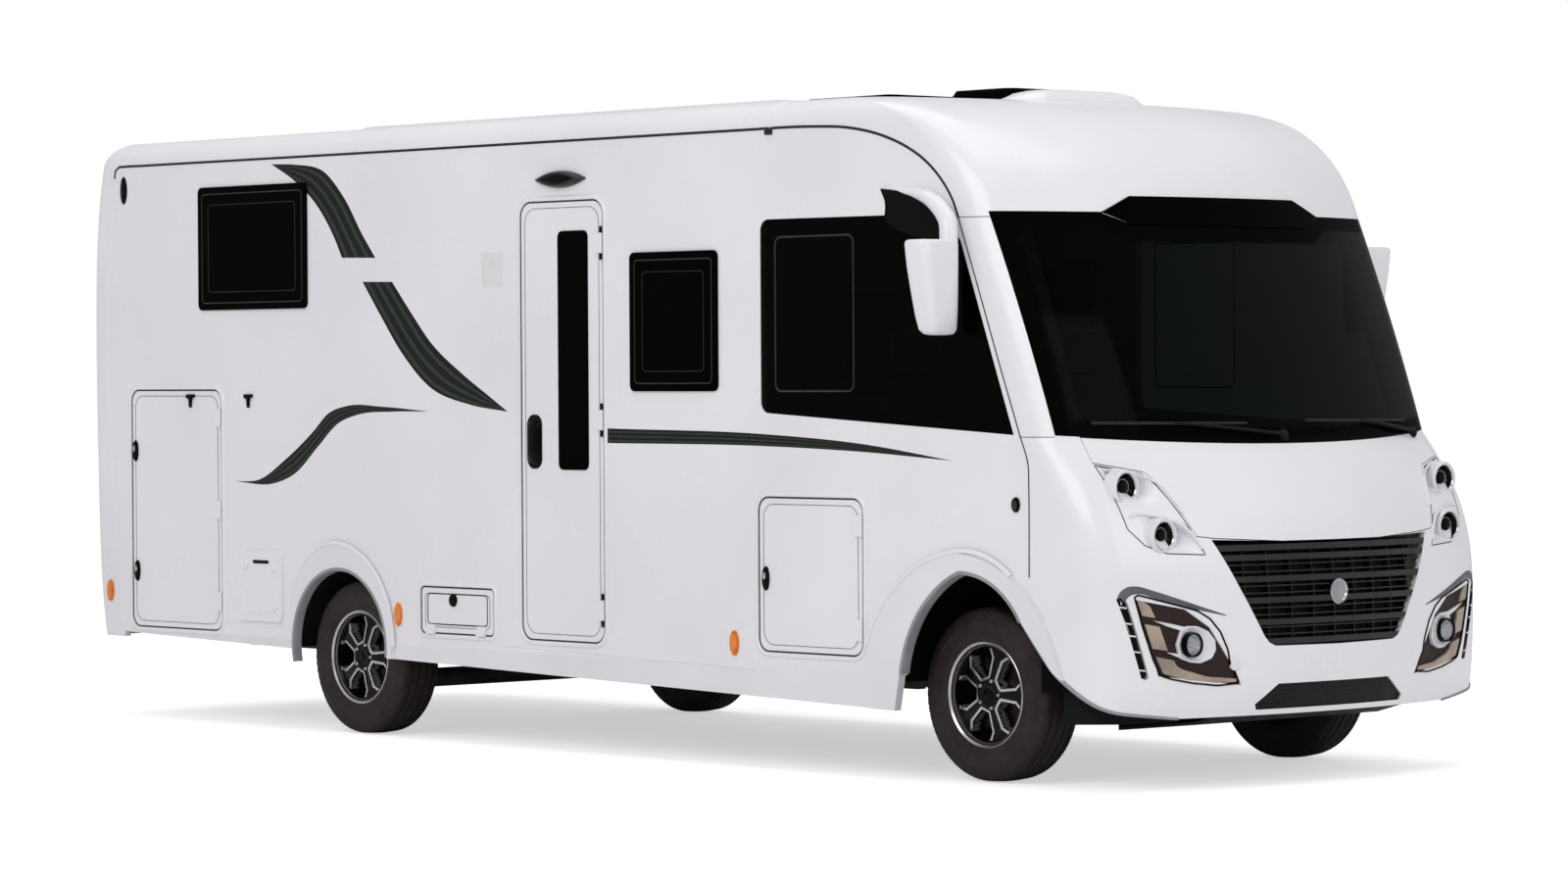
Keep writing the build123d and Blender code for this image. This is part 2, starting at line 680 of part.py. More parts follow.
# ---- chassis ------------------------------------------------------------------
RAIL_Y = 420
RAIL_T = 60
RAIL_Z = (330, 500)
CROSS_XS = (-3250, -2500, -1900, -900, 200, 1200, 2100)
CROSS_T = 50
OUTRIGGER_XS = (-2600, -900, 200, 1200)
TOW_BAR_HOLES = ((-3150, 385),)
TOW_BAR_SPACING = (120, 60)
TOW_BAR_HOLE_R = 6.5
# bent plate below the engine, (x, z)
UNDERTRAY = [(3000, 335), (3000, 212), (3440, 255), (3590, 296), (3590, 308), (3436, 267), (3012, 226), (3012, 335)]
UNDERTRAY_HALF = 560
JACK_PAD_XS = (-2200, 1600)
JACK_PAD = (120, 60, 12)   # length, width and thickness
TANK = (-700, 900, -360, 360, 262, 440)
ENGINE = (2830, 3330, -330, 380, 400, 980)

with BuildPart() as chassis_frame:
    for side in (-1, 1):
        add(box_at(-3300, 2200, side * RAIL_Y - RAIL_T / 2, side * RAIL_Y + RAIL_T / 2, *RAIL_Z))
        add(box_at(2150, 3540, side * RAIL_Y - RAIL_T / 2, side * RAIL_Y + RAIL_T / 2, 330, 400))
    for x in CROSS_XS:
        add(box_at(x, x + CROSS_T, -RAIL_Y, RAIL_Y, 440, RAIL_Z[1]))
    for x in OUTRIGGER_XS:
        add(box_at(x, x + CROSS_T, -INSIDE_Y, INSIDE_Y, 441, 485))
    add(box_at(3500, 3540, -RAIL_Y, RAIL_Y, 330, 400))
    with BuildSketch(Plane.XZ.offset(-UNDERTRAY_HALF)):
        with BuildLine():
            Polyline(UNDERTRAY, close=True)
        make_face()
    extrude(amount=2 * UNDERTRAY_HALF)
    add(box_at(-3350, GARAGE_X + 100, -1300, 1300, GARAGE_FLOOR_Z, 700), mode=Mode.SUBTRACT)
    for side in (-1, 1):
        with BuildSketch(Plane.XZ.offset(-side * RAIL_Y - RAIL_T / 2 - 1)):
            with Locations(TOW_BAR_HOLES):
                with GridLocations(*TOW_BAR_SPACING, 2, 2):
                    Circle(TOW_BAR_HOLE_R)
        extrude(amount=RAIL_T + 2, mode=Mode.SUBTRACT)
        for x in JACK_PAD_XS:
            length, width, thick = JACK_PAD
            add(box_at(x - length / 2, x + length / 2, side * RAIL_Y - width / 2 + 5, side * RAIL_Y + width / 2 - 5,
                       RAIL_Z[0] - thick, RAIL_Z[0]))
finish(chassis_frame.part, "chassis_frame")

with BuildPart() as rear_axle:
    with BuildSketch(Plane.XZ.offset(-BEAM_HALF)):
        with Locations((BEAM_X, BEAM_Z)):
            Circle(BEAM_R)
    extrude(amount=2 * BEAM_HALF)
    for side in (-1, 1):
        with BuildSketch(Plane.XZ.offset(-side * BEAM_HALF)):
            with BuildLine():
                Polyline((BEAM_X + 45, BEAM_Z - 30), (BEAM_X + 30, BEAM_Z + 45), (REAR_AXLE_X, HUB_Z + 55),
                         (REAR_AXLE_X - 55, HUB_Z), (REAR_AXLE_X, HUB_Z - 55), close=True)
            make_face()
        extrude(amount=side * ARM_T)
        with BuildSketch(Plane.XZ.offset(-side * (BEAM_HALF - ARM_T))):
            with Locations((REAR_AXLE_X, HUB_Z)):
                Circle(STUB_R)
        extrude(amount=-side * (REAR_TRACK_Y + STUB_END - BEAM_HALF + ARM_T))
        add(box_at(BEAM_X - 40, BEAM_X + 40, side * RAIL_Y - RAIL_T / 2, side * RAIL_Y + RAIL_T / 2,
                   BEAM_Z, RAIL_Z[0]))
finish(rear_axle.part, "rear_axle")

with BuildPart() as front_suspension:
    for side in (-1, 1):
        for z0, z1, pin in ((LOWER_ARM_Z - ARM_H, LOWER_ARM_Z, PIN_REACH), (UPPER_ARM_Z, UPPER_ARM_Z + ARM_H, -PIN_REACH)):
            with BuildSketch(Plane.XY.offset(z0)):
                with BuildLine():
                    Polyline((FRONT_AXLE_X - 45, side * KINGPIN_Y + side * 20), (FRONT_AXLE_X + 45, side * KINGPIN_Y + side * 20),
                             (FRONT_AXLE_X + 60, side * 640), (FRONT_AXLE_X + 140, side * ARM_ROOT_Y),
                             (FRONT_AXLE_X - 140, side * ARM_ROOT_Y), (FRONT_AXLE_X - 60, side * 640), close=True)
                make_face()
            extrude(amount=z1 - z0)
            face_z = z1 if pin > 0 else z0
            with BuildSketch(Plane.XY.offset(face_z)):
                with Locations((FRONT_AXLE_X, side * KINGPIN_Y)):
                    Circle(PIN_R)
            extrude(amount=pin)
        with BuildSketch(Plane(origin=(FRONT_AXLE_X, side * STRUT_Y, UPPER_ARM_Z + ARM_H - 4),
                               z_dir=(0, -side * STRUT_LEAN, 1))):
            Circle(STRUT_R)
        extrude(amount=STRUT_L)
finish(front_suspension.part, "front_suspension")

with BuildPart() as under_tank:
    add(box_at(*TANK))
    fillet(under_tank.edges().filter_by(Axis.Z), 60)
finish(under_tank.part, "under_tank")

with BuildPart() as engine_block:
    add(box_at(*ENGINE))
    chamfer(engine_block.edges().filter_by(Axis.X), 40)
finish(engine_block.part, "engine_block")

def wheel_plane(x, y):
    """Plane through a wheel's centre; local x points outwards, local y up."""
    out = 1 if y > 0 else -1
    return Plane(origin=(x, y, HUB_Z), x_dir=(0, out, 0), z_dir=(out, 0, 0))


for name, x, y in WHEELS:
    out = 1 if y > 0 else -1
    axle = Axis((x, y, HUB_Z), (0, 1, 0))
    face = Plane(origin=(x, y, HUB_Z), x_dir=(1, 0, 0), z_dir=(0, out, 0))
    half = TYRE_W / 2

    with BuildPart() as tyre:
        with BuildSketch(wheel_plane(x, y)):
            with BuildLine():
                Polyline((RIM_HALF, BEAD_R), (-RIM_HALF, BEAD_R), (-RIM_HALF, RIM_R + 8))
                ThreePointArc((-RIM_HALF, RIM_R + 8), (-half, 290), (-half + 14, TYRE_R - 14))
                ThreePointArc((-half + 14, TYRE_R - 14), (0, TYRE_R), (half - 14, TYRE_R - 14))
                ThreePointArc((half - 14, TYRE_R - 14), (half, 290), (RIM_HALF, RIM_R + 8))
                Line((RIM_HALF, RIM_R + 8), (RIM_HALF, BEAD_R))
            make_face()
        revolve(axis=axle)
    finish(tyre.part, f"tyre_{name}")

    with BuildPart() as rim:
        with BuildSketch(wheel_plane(x, y)):
            with BuildLine():
                Polyline((-RIM_HALF - 8, RIM_R), (-RIM_HALF, RIM_R), (-RIM_HALF, BEAD_R), (RIM_HALF, BEAD_R),
                         (RIM_HALF, RIM_R), (RIM_HALF + 8, RIM_R), (RIM_HALF + 8, BEAD_R - 6), (70, 188),
                         (-60, 178), (-RIM_HALF - 8, BEAD_R - 8), (-RIM_HALF - 8, RIM_R))
            make_face()
        revolve(axis=axle)
        with BuildSketch(face.offset(DISC_OUT)):
            Circle(192)
        extrude(amount=-DISC_T)
        with BuildSketch(face.offset(DISC_OUT + 5)):
            with PolarLocations(0, SPOKE_WINDOWS, start_angle=WINDOW_START):
                with BuildLine():
                    Polyline(DISC_WINDOW + [flip(p) for p in reversed(DISC_WINDOW)], close=True)
                make_face()
        extrude(amount=-DISC_T - 10, mode=Mode.SUBTRACT)
        with BuildSketch(face.offset(DISC_OUT - DISC_T)):
            Circle(HUB_R)
        extrude(amount=-60)
        with BuildSketch(face.offset(DISC_OUT + 6)):
            Circle(BORE_R)
        extrude(amount=-150, mode=Mode.SUBTRACT)
        with BuildSketch(face.offset(DISC_OUT - 8)):
            Circle(BORE_R + 5)
        extrude(amount=14)
    finish(rim.part, f"rim_{name}")

for name, side in SIDES.items():
    face = Plane(origin=(FRONT_AXLE_X, side * FRONT_TRACK_Y, HUB_Z), x_dir=(1, 0, 0), z_dir=(0, side, 0))
    back = face.offset(-LUG_INSET)
    with BuildPart() as knuckle:
        with BuildSketch(back):
            Circle(STUB_R)
        extrude(amount=LUG_INSET + STUB_END)
        with BuildSketch(back):
            Circle(60)
        extrude(amount=35)
        with BuildSketch(Plane.XY.offset(LOWER_ARM_Z + LUG_GAP)):
            with Locations((FRONT_AXLE_X, side * KINGPIN_Y)):
                Circle(LUG_R)
        extrude(amount=UPPER_ARM_Z - LOWER_ARM_Z - 2 * LUG_GAP)
        with BuildSketch(Plane.XY.offset(HUB_Z - 60)):
            with BuildLine():
                Polyline((FRONT_AXLE_X - 20, side * (KINGPIN_Y + 15)), (FRONT_AXLE_X - 20, side * (KINGPIN_Y - 15)),
                         (FRONT_AXLE_X - 150, side * (KINGPIN_Y - 75)), (FRONT_AXLE_X - 150, side * (KINGPIN_Y - 45)),
                         close=True)
            make_face()
        extrude(amount=24)
        with BuildSketch(Plane.XY.offset(0)):
            with Locations((FRONT_AXLE_X, side * KINGPIN_Y)):
                Circle(PIN_BORE_R)
        extrude(amount=LOWER_ARM_Z + PIN_REACH + LUG_GAP, mode=Mode.SUBTRACT)
        with BuildSketch(Plane.XY.offset(UPPER_ARM_Z - PIN_REACH - LUG_GAP)):
            with Locations((FRONT_AXLE_X, side * KINGPIN_Y)):
                Circle(PIN_BORE_R)
        extrude(amount=200, mode=Mode.SUBTRACT)
    finish(knuckle.part, f"knuckle_{name}")

# ---- doors and hatches --------------------------------------------------------
DOOR_GAP = 5
HINGE_OUT = 12             # hinge axis stands this far off the wall
HINGE_R = 8
HINGE_L = 90
HINGE_PLATE = 45           # length of the plate on the leaf
HINGE_RELIEF = 7           # cut that keeps the barrel off the wall


def add_upright_hinges(side, x, heights):
    """Hinge barrels and plates for a leaf whose front edge is at x."""
    with BuildPart() as hinges:
        for z in heights:
            with BuildSketch(Plane.XY.offset(z - HINGE_L / 2)):
                with Locations((x, side * (HALF_WIDTH + HINGE_OUT))):
                    Circle(HINGE_R)
            extrude(amount=HINGE_L)
            low, high = sorted((side * HALF_WIDTH, side * (HALF_WIDTH + HINGE_OUT)))
            add(box_at(x - HINGE_PLATE, x, low, high, z - HINGE_L / 2, z + HINGE_L / 2))
            relief = box_at(x - DOOR_GAP / 2, x + HINGE_R + 2, side * HALF_WIDTH - HINGE_RELIEF,
                            side * HALF_WIDTH + HINGE_RELIEF, z - HINGE_L, z + HINGE_L)
            add(relief, mode=Mode.SUBTRACT)
    return hinges.part


def hinge_x(box):
    """X of the upright hinge axis at the front edge of an opening."""
    return box[1] - DOOR_GAP / 2


def door_leaf(side, box, heights):
    """Door leaf as thick as the wall, with its hinges along the front edge."""
    with BuildPart() as leaf:
        add(opening_block(side, box, DOOR_GAP, 0, WALL))
        add(add_upright_hinges(side, hinge_x(box), heights))
    return leaf.part


with BuildPart() as entry_door:
    add(door_leaf(-1, ENTRY_DOOR, (650, 1500, 2290)))
    add(opening_block(-1, ENTRY_DOOR_WINDOW, WINDOW_LIP, 5, THROUGH), mode=Mode.SUBTRACT)
finish(entry_door.part, "entry_door")

with BuildPart() as entry_door_window:
    add(opening_block(-1, ENTRY_DOOR_WINDOW, 0, 5, 5))
finish(entry_door_window.part, "entry_door_window")

HANDLE = (-135, -33, 1278, 1523, 45)
with BuildPart() as entry_door_handle:
    add(opening_block(-1, HANDLE, 0, 22, 22))
finish(entry_door_handle.part, "entry_door_handle")

for name, side in SIDES.items():
    garage_door = door_leaf(side, GARAGE_DOOR, (600, 1050, 1500))
    finish(garage_door, f"garage_door_{name}")
    locker_door = door_leaf(side, LOCKER_DOOR, (620, 1060))
    finish(locker_door, f"locker_door_{name}")

HATCH_AXIS_Z = SERVICE_HATCH[2] + DOOR_GAP / 2
with BuildPart() as service_hatch:
    add(opening_block(-1, SERVICE_HATCH, DOOR_GAP, 0, WALL))
    for x in (-850, -475):
        with BuildSketch(Plane.YZ.offset(x - 30)):
            with Locations((-HALF_WIDTH - HINGE_OUT, HATCH_AXIS_Z)):
                Circle(HINGE_R)
        extrude(amount=60)
        add(box_at(x - 30, x + 30, -HALF_WIDTH - HINGE_OUT, -HALF_WIDTH, HATCH_AXIS_Z + 3, HATCH_AXIS_Z + 40))
finish(service_hatch.part, "service_hatch")

# ---- outside fittings ------------------------------------------------------------
# x, z of the middle, width and height of each orange side marker
MARKERS = ((-3492, 628, 50, 100), (-1108, 583, 50, 100), (1284, 537, 50, 100))
with BuildPart() as side_markers:
    for side in (-1, 1):
        for x, z, width, height in MARKERS:
            add(opening_block(side, (x - width / 2, x + width / 2, z - height / 2, z + height / 2, 20), 0, 10, 10))
finish(side_markers.part, "side_markers")

# tips of the almond-shaped lamp and the middles of its two arcs, (x, z)
AWNING_LAMP = {"tips": ((-66, 2583), (293, 2583)), "top": (113, 2622), "bottom": (113, 2544)}
AWNING_LAMP_OUT = 34

with BuildPart() as awning_lamp:
    with BuildSketch(wall_plane(-1)):
        with BuildLine():
            back_tip, front_tip = AWNING_LAMP["tips"]
            ThreePointArc(back_tip, AWNING_LAMP["top"], front_tip)
            ThreePointArc(front_tip, AWNING_LAMP["bottom"], back_tip)
        make_face()
    extrude(amount=AWNING_LAMP_OUT)
finish(awning_lamp.part, "awning_lamp")

SERVICE_COVER = (-2369, -2022, 514, 860, 30)
with BuildPart() as service_cover:
    add(opening_block(-1, SERVICE_COVER, 0, 12, 12))
finish(service_cover.part, "service_cover")

MIRROR = (2630, 2770, 1240, 1435, 1855, 2247)
MIRROR_ARM_R = 28
# plate on the wall that carries the arm, (x, z)
MIRROR_FOOT = [(2262, 2476), (2300, 2382), (2600, 2374), (2645, 2388), (2560, 2420), (2420, 2440)]
MIRROR_FOOT_T = 8
with BuildPart() as mirrors:
    for side in (-1, 1):
        x0, x1, y0, y1, z0, z1 = MIRROR
        with BuildSketch(Plane.XY.offset(z0)):
            with Locations(((x0 + x1) / 2, side * (y0 + y1) / 2)):
                RectangleRounded(x1 - x0 - 30, y1 - y0 - 40, 40)
        with BuildSketch(Plane.XY.offset(z1)):
            with Locations(((x0 + x1) / 2, side * (y0 + y1) / 2)):
                RectangleRounded(x1 - x0, y1 - y0, 50)
        loft()
        with BuildLine() as arm_path:
            FilletPolyline((2420, side * (HALF_WIDTH - 1), 2405), (2560, side * 1290, 2370),
                           (2700, side * 1340, 2320), (2700, side * 1340, z1 - 20), radius=45)
        with BuildSketch(Plane(arm_path.line @ 0, z_dir=arm_path.line % 0)):
            Circle(MIRROR_ARM_R)
        sweep(path=arm_path.line)
        add(side_block(side, MIRROR_FOOT, MIRROR_FOOT_T, MIRROR_FOOT_T))
        add(box_at(2000, 3000, -INSIDE_Y - WALL, INSIDE_Y + WALL, 2000, 3000), mode=Mode.SUBTRACT)
finish(mirrors.part, "mirrors")

# y of the pivot, y and z of each end of the blade
WIPERS = ((-38, -983, -233), (944, 123, 886))
with BuildPart() as wipers:
    for pivot, start, end in WIPERS:
        add(box_at(3000, 4000, start, end, 1482, 1492))
        add(box_at(3000, 4000, pivot - 14, pivot + 14, 1434, 1462))
        middle = (start + end) / 2
        with BuildSketch(Plane.YZ.offset(3000)):
            with BuildLine():
                Polyline((pivot - 8, 1440), (pivot + 8, 1452), (middle + 6, 1492), (middle - 6, 1484), close=True)
            make_face()
        extrude(amount=1000)
    add(skin_layer(-22, 0), mode=Mode.INTERSECT)
finish(wipers.part, "wipers")

# ---- inside ---------------------------------------------------------------
with BuildPart() as dashboard:
    with BuildSketch(Plane.XZ.offset(-1080)):
        with BuildLine():
            Polyline((2760, 520), (2760, 1120), (2700, 1180), (2740, 1270), (2950, 1330), (3190, 1370), (3190, 1300),
                     (2800, 1000), (2800, 520), close=True)
        make_face()
    extrude(amount=2160)
    for side in (-1, 1):
        add(arch_block(side, FRONT_WELL, -WALL + 1, INSIDE_Y - FRONT_WELL_Y + 1, LINER_T), mode=Mode.SUBTRACT)
finish(dashboard.part, "dashboard")

WHEEL_HUB = Plane(origin=(2560, 520, 1290), z_dir=(-0.55, 0, 0.83))
with BuildPart() as steering_wheel:
    with BuildSketch(Plane(origin=WHEEL_HUB.origin, x_dir=WHEEL_HUB.x_dir, z_dir=WHEEL_HUB.y_dir)):
        with Locations((190, 0)):
            Circle(15)
    revolve(axis=Axis(WHEEL_HUB.origin, WHEEL_HUB.z_dir))
    with BuildSketch(WHEEL_HUB.offset(-20)):
        Circle(60)
        Rectangle(370, 40)
        with Locations((0, -90)):
            Rectangle(40, 180)
    extrude(amount=25)
    with BuildSketch(WHEEL_HUB.offset(-20)):
        Circle(35)
    extrude(amount=-180)
finish(steering_wheel.part, "steering_wheel")

SEAT_X = 2020
SEAT_Y = 500
with BuildPart() as seat_bases:
    for side in (-1, 1):
        add(box_at(SEAT_X - 200, SEAT_X + 150, side * SEAT_Y - 190, side * SEAT_Y + 190, FLOOR_Z + FLOOR_T, 900))
finish(seat_bases.part, "seat_bases")

with BuildPart() as seats:
    for side in (-1, 1):
        with BuildSketch(Plane.XZ.offset(-side * SEAT_Y - 255)):
            with BuildLine():
                Polyline((2290, 900), (1820, 900), (1690, 1640), (1700, 1720), (1680, 1900), (1790, 1900), (1800, 1720),
                         (1810, 1640), (1900, 1080), (2290, 1050), close=True)
            make_face()
        extrude(amount=510)
finish(seats.part, "seats")

BED_Z = 1680
with BuildPart() as bed_base:
    add(box_at(-3440, GARAGE_X + 30, -INSIDE_Y, INSIDE_Y, BED_Z, BED_Z + 30))
    add(box_at(GARAGE_X, GARAGE_X + 30, -INSIDE_Y, INSIDE_Y, FLOOR_Z + FLOOR_T, BED_Z))
finish(bed_base.part, "bed_base")
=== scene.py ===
"""Looks of a coach-built motorhome round its solid frame, laid out as a Blender add-on.

Metres. +X is forward, +Y the driver's left, +Z up, with the ground at z = 0.
"""
import json
import math

import bmesh
import bpy
import numpy as np
from mathutils import Matrix, Vector


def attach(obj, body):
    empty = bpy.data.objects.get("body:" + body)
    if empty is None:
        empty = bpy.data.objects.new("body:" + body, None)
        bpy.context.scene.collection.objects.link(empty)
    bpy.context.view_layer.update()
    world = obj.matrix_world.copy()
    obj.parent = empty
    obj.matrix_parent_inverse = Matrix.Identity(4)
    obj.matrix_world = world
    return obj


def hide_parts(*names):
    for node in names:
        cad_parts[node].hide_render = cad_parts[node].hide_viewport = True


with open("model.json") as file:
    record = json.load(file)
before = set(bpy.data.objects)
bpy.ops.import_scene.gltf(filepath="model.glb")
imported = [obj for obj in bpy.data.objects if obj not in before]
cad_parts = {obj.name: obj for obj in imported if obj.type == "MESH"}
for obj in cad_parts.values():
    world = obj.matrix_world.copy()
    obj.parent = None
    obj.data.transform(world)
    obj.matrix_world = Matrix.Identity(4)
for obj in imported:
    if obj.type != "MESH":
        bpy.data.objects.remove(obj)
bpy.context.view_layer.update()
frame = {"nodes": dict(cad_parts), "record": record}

bl_info = {
    "name": "Motorhome Looks",
    "version": (1, 0, 0),
    "blender": (4, 5, 0),
    "location": "View3D > Sidebar > Motorhome",
    "description": "Builds the visible pieces and materials of a coach-built motorhome",
    "category": "Object",
}

SIDES = {"right": -1, "left": 1}
HALF_WIDTH = 1.175
ROOF_Z = 2.875
ROOF_EDGE_R = 0.12
EAVES_Z = ROOF_Z - ROOF_EDGE_R
FRONT_ARC_R = 3.03
CORNER_R = 0.2


# ---- properties ---------------------------------------------------------------
def hex_colour(code):
    """Linear RGB of an sRGB hex code, by the sRGB curve's two branches."""
    raw = [int(code[i:i + 2], 16) / 255 for i in (0, 2, 4)]
    return tuple(c / 12.92 if c <= 0.04045 else ((c + 0.055) / 1.055) ** 2.4 for c in raw)


def colour_property(name, description, code):
    """A colour property with its default from a hex code."""
    return bpy.props.FloatVectorProperty(
        name=name, description=description, subtype="COLOR", size=3, min=0, max=1, default=hex_colour(code))


def length_property(name, description, default):
    """A length property in metres."""
    return bpy.props.FloatProperty(name=name, description=description, unit="LENGTH", min=0, default=default)


class MotorhomeSizes(bpy.types.PropertyGroup):
    """Sizes of the pieces that this add-on makes."""

    film: length_property("Film", "Thickness of vinyl stripes and printed films", 0.0005)
    seal: length_property("Seal", "Half width of the rubber seals in body seams", 0.004)
    tread: length_property("Tread", "Depth of the tyre tread", 0.008)
    machined: length_property("Machined edge", "Width of the turned edges on the wheels", 0.012)


class MotorhomeColours(bpy.types.PropertyGroup):
    """Colours of the main finishes."""

    body: colour_property("Body", "White gelcoat of the walls and mouldings", "f1f0f2")
    stripe_dark: colour_property("Dark stripe", "Dark part of the side stripes", "090c0a")
    stripe_light: colour_property("Light stripe", "Grey-green bands in the side stripes", "303b31")
    trim: colour_property("Champagne trim", "Trim of the lamp recesses and name panel", "8f8279")


# ---- shader helpers -----------------------------------------------------------
MATERIALS = {}


def give(tree, made, values):
    """Set a node's inputs; each value is a number, a colour or the socket to link from."""
    for key, value in values.items():
        if isinstance(value, bpy.types.NodeSocket):
            tree.links.new(value, made.inputs[key])
        else:
            made.inputs[key].default_value = value
    return made


def add_node(tree, kind, values=None, **settings):
    """Add one shader node with its properties and its inputs."""
    made = tree.nodes.new(kind)
    for key, value in settings.items():
        setattr(made, key, value)
    return give(tree, made, values or {})


def start_material(name):
    """Empty node material in the table, its Principled node and its object coordinates."""
    material = bpy.data.materials.new(name)
    material.use_nodes = True
    tree = material.node_tree
    tree.nodes.clear()
    bsdf = add_node(tree, "ShaderNodeBsdfPrincipled")
    add_node(tree, "ShaderNodeOutputMaterial", {"Surface": bsdf.outputs[0]})
    MATERIALS[name] = material
    return tree, bsdf, add_node(tree, "ShaderNodeTexCoord").outputs["Object"]


def noise(tree, place, size_mm, detail=3.0):
    """Noise whose features are about size_mm wide."""
    return add_node(tree, "ShaderNodeTexNoise",
                    {"Scale": 1000 / size_mm, "Detail": detail, "Vector": place}).outputs["Fac"]


def blend(tree, factor, low, high):
    """Mix of two colours by a factor socket; each is a hex code, an RGB triple or a socket."""
    rgba = []
    for colour in (low, high):
        if isinstance(colour, str):
            colour = hex_colour(colour)
        rgba.append(colour if isinstance(colour, bpy.types.NodeSocket) else (*colour, 1))
    return add_node(tree, "ShaderNodeMix", {0: factor, 6: rgba[0], 7: rgba[1]}, data_type="RGBA").outputs[2]


def spread(tree, source, start, end, low, high):
    """Stretch the range from start to end of a socket onto low to high, held at both ends."""
    return add_node(tree, "ShaderNodeMapRange", {0: source, 1: start, 2: end, 3: low, 4: high}).outputs[0]


def rescale(tree, source, low, high):
    """Stretch a noise value from its usual 0.3 to 0.7 onto low to high."""
    return spread(tree, source, 0.3, 0.7, low, high)


def maths(tree, operation, *values):
    """One maths node; each value is a number or a socket."""
    return add_node(tree, "ShaderNodeMath", dict(enumerate(values)), operation=operation).outputs[0]


def vector_maths(tree, operation, *values):
    """One vector maths node; the outputs are the vector and the value."""
    return add_node(tree, "ShaderNodeVectorMath", dict(enumerate(values)), operation=operation).outputs


def attribute(tree, name):
    """Value of a mesh attribute."""
    return add_node(tree, "ShaderNodeAttribute", attribute_name=name).outputs["Fac"]


def add_bump(tree, bsdf, height, depth_mm):
    """Bump of the given depth from a height socket."""
    bump = add_node(tree, "ShaderNodeBump", {"Distance": depth_mm / 1000, "Strength": 1.0, "Height": height})
    give(tree, bsdf, {"Normal": bump.outputs[0]})


# ---- finishes -----------------------------------------------------------------
GELCOAT = "sprayed white gelcoat"
SKIRT_PAINT = "powder-coated aluminium skirt"
GRAINED = "moulded grained ABS"
GRILLE_ABS = "moulded satin ABS grille"
GLOSS = "moulded gloss black ABS"
RUBBER = "extruded EPDM rubber"
GRILLE_SHADE_SHEET = "near-black sheet as painted shade behind grille"
CHROME = "chromed ABS trim"
CHAMPAGNE = "satin champagne painted ABS"
CLEAR = "injection-moulded clear polycarbonate"
AMBER = "injection-moulded amber acrylic"
RED = "injection-moulded red acrylic"
WAXED = "wax-coated pressed steel"
IRON = "sand-cast iron"
TANK = "rotation-moulded polyethylene"
BOARD = "laminated poplar board"
DASH = "slush-moulded dash skin"
STEEL = "turned steel"
ANODISED = "dark anodised aluminium"
SATIN_WHITE = "satin white moulded ABS"
GREY_SHADE_LINE = "satin grey as painted shade line"
LIP_SHADE_GREY = "grey lip finish as painted shade"
LABEL = "blank printed label"
BLIND = "woven polyester blind"
SMOKED = "smoked acrylic pane"
CAB_GLASS = "tinted cab glass"
SCREEN = "laminated tinted windscreen"
BROWN_MESH = "brown moulded honeycomb"
BLACK_MESH = "black moulded honeycomb"
VINYL = "cut cast vinyl stripe"
ALLOY = "diamond-cut cast alloy"
TYRE = "vulcanised tyre rubber"
CLOTH = "woven seat cloth"

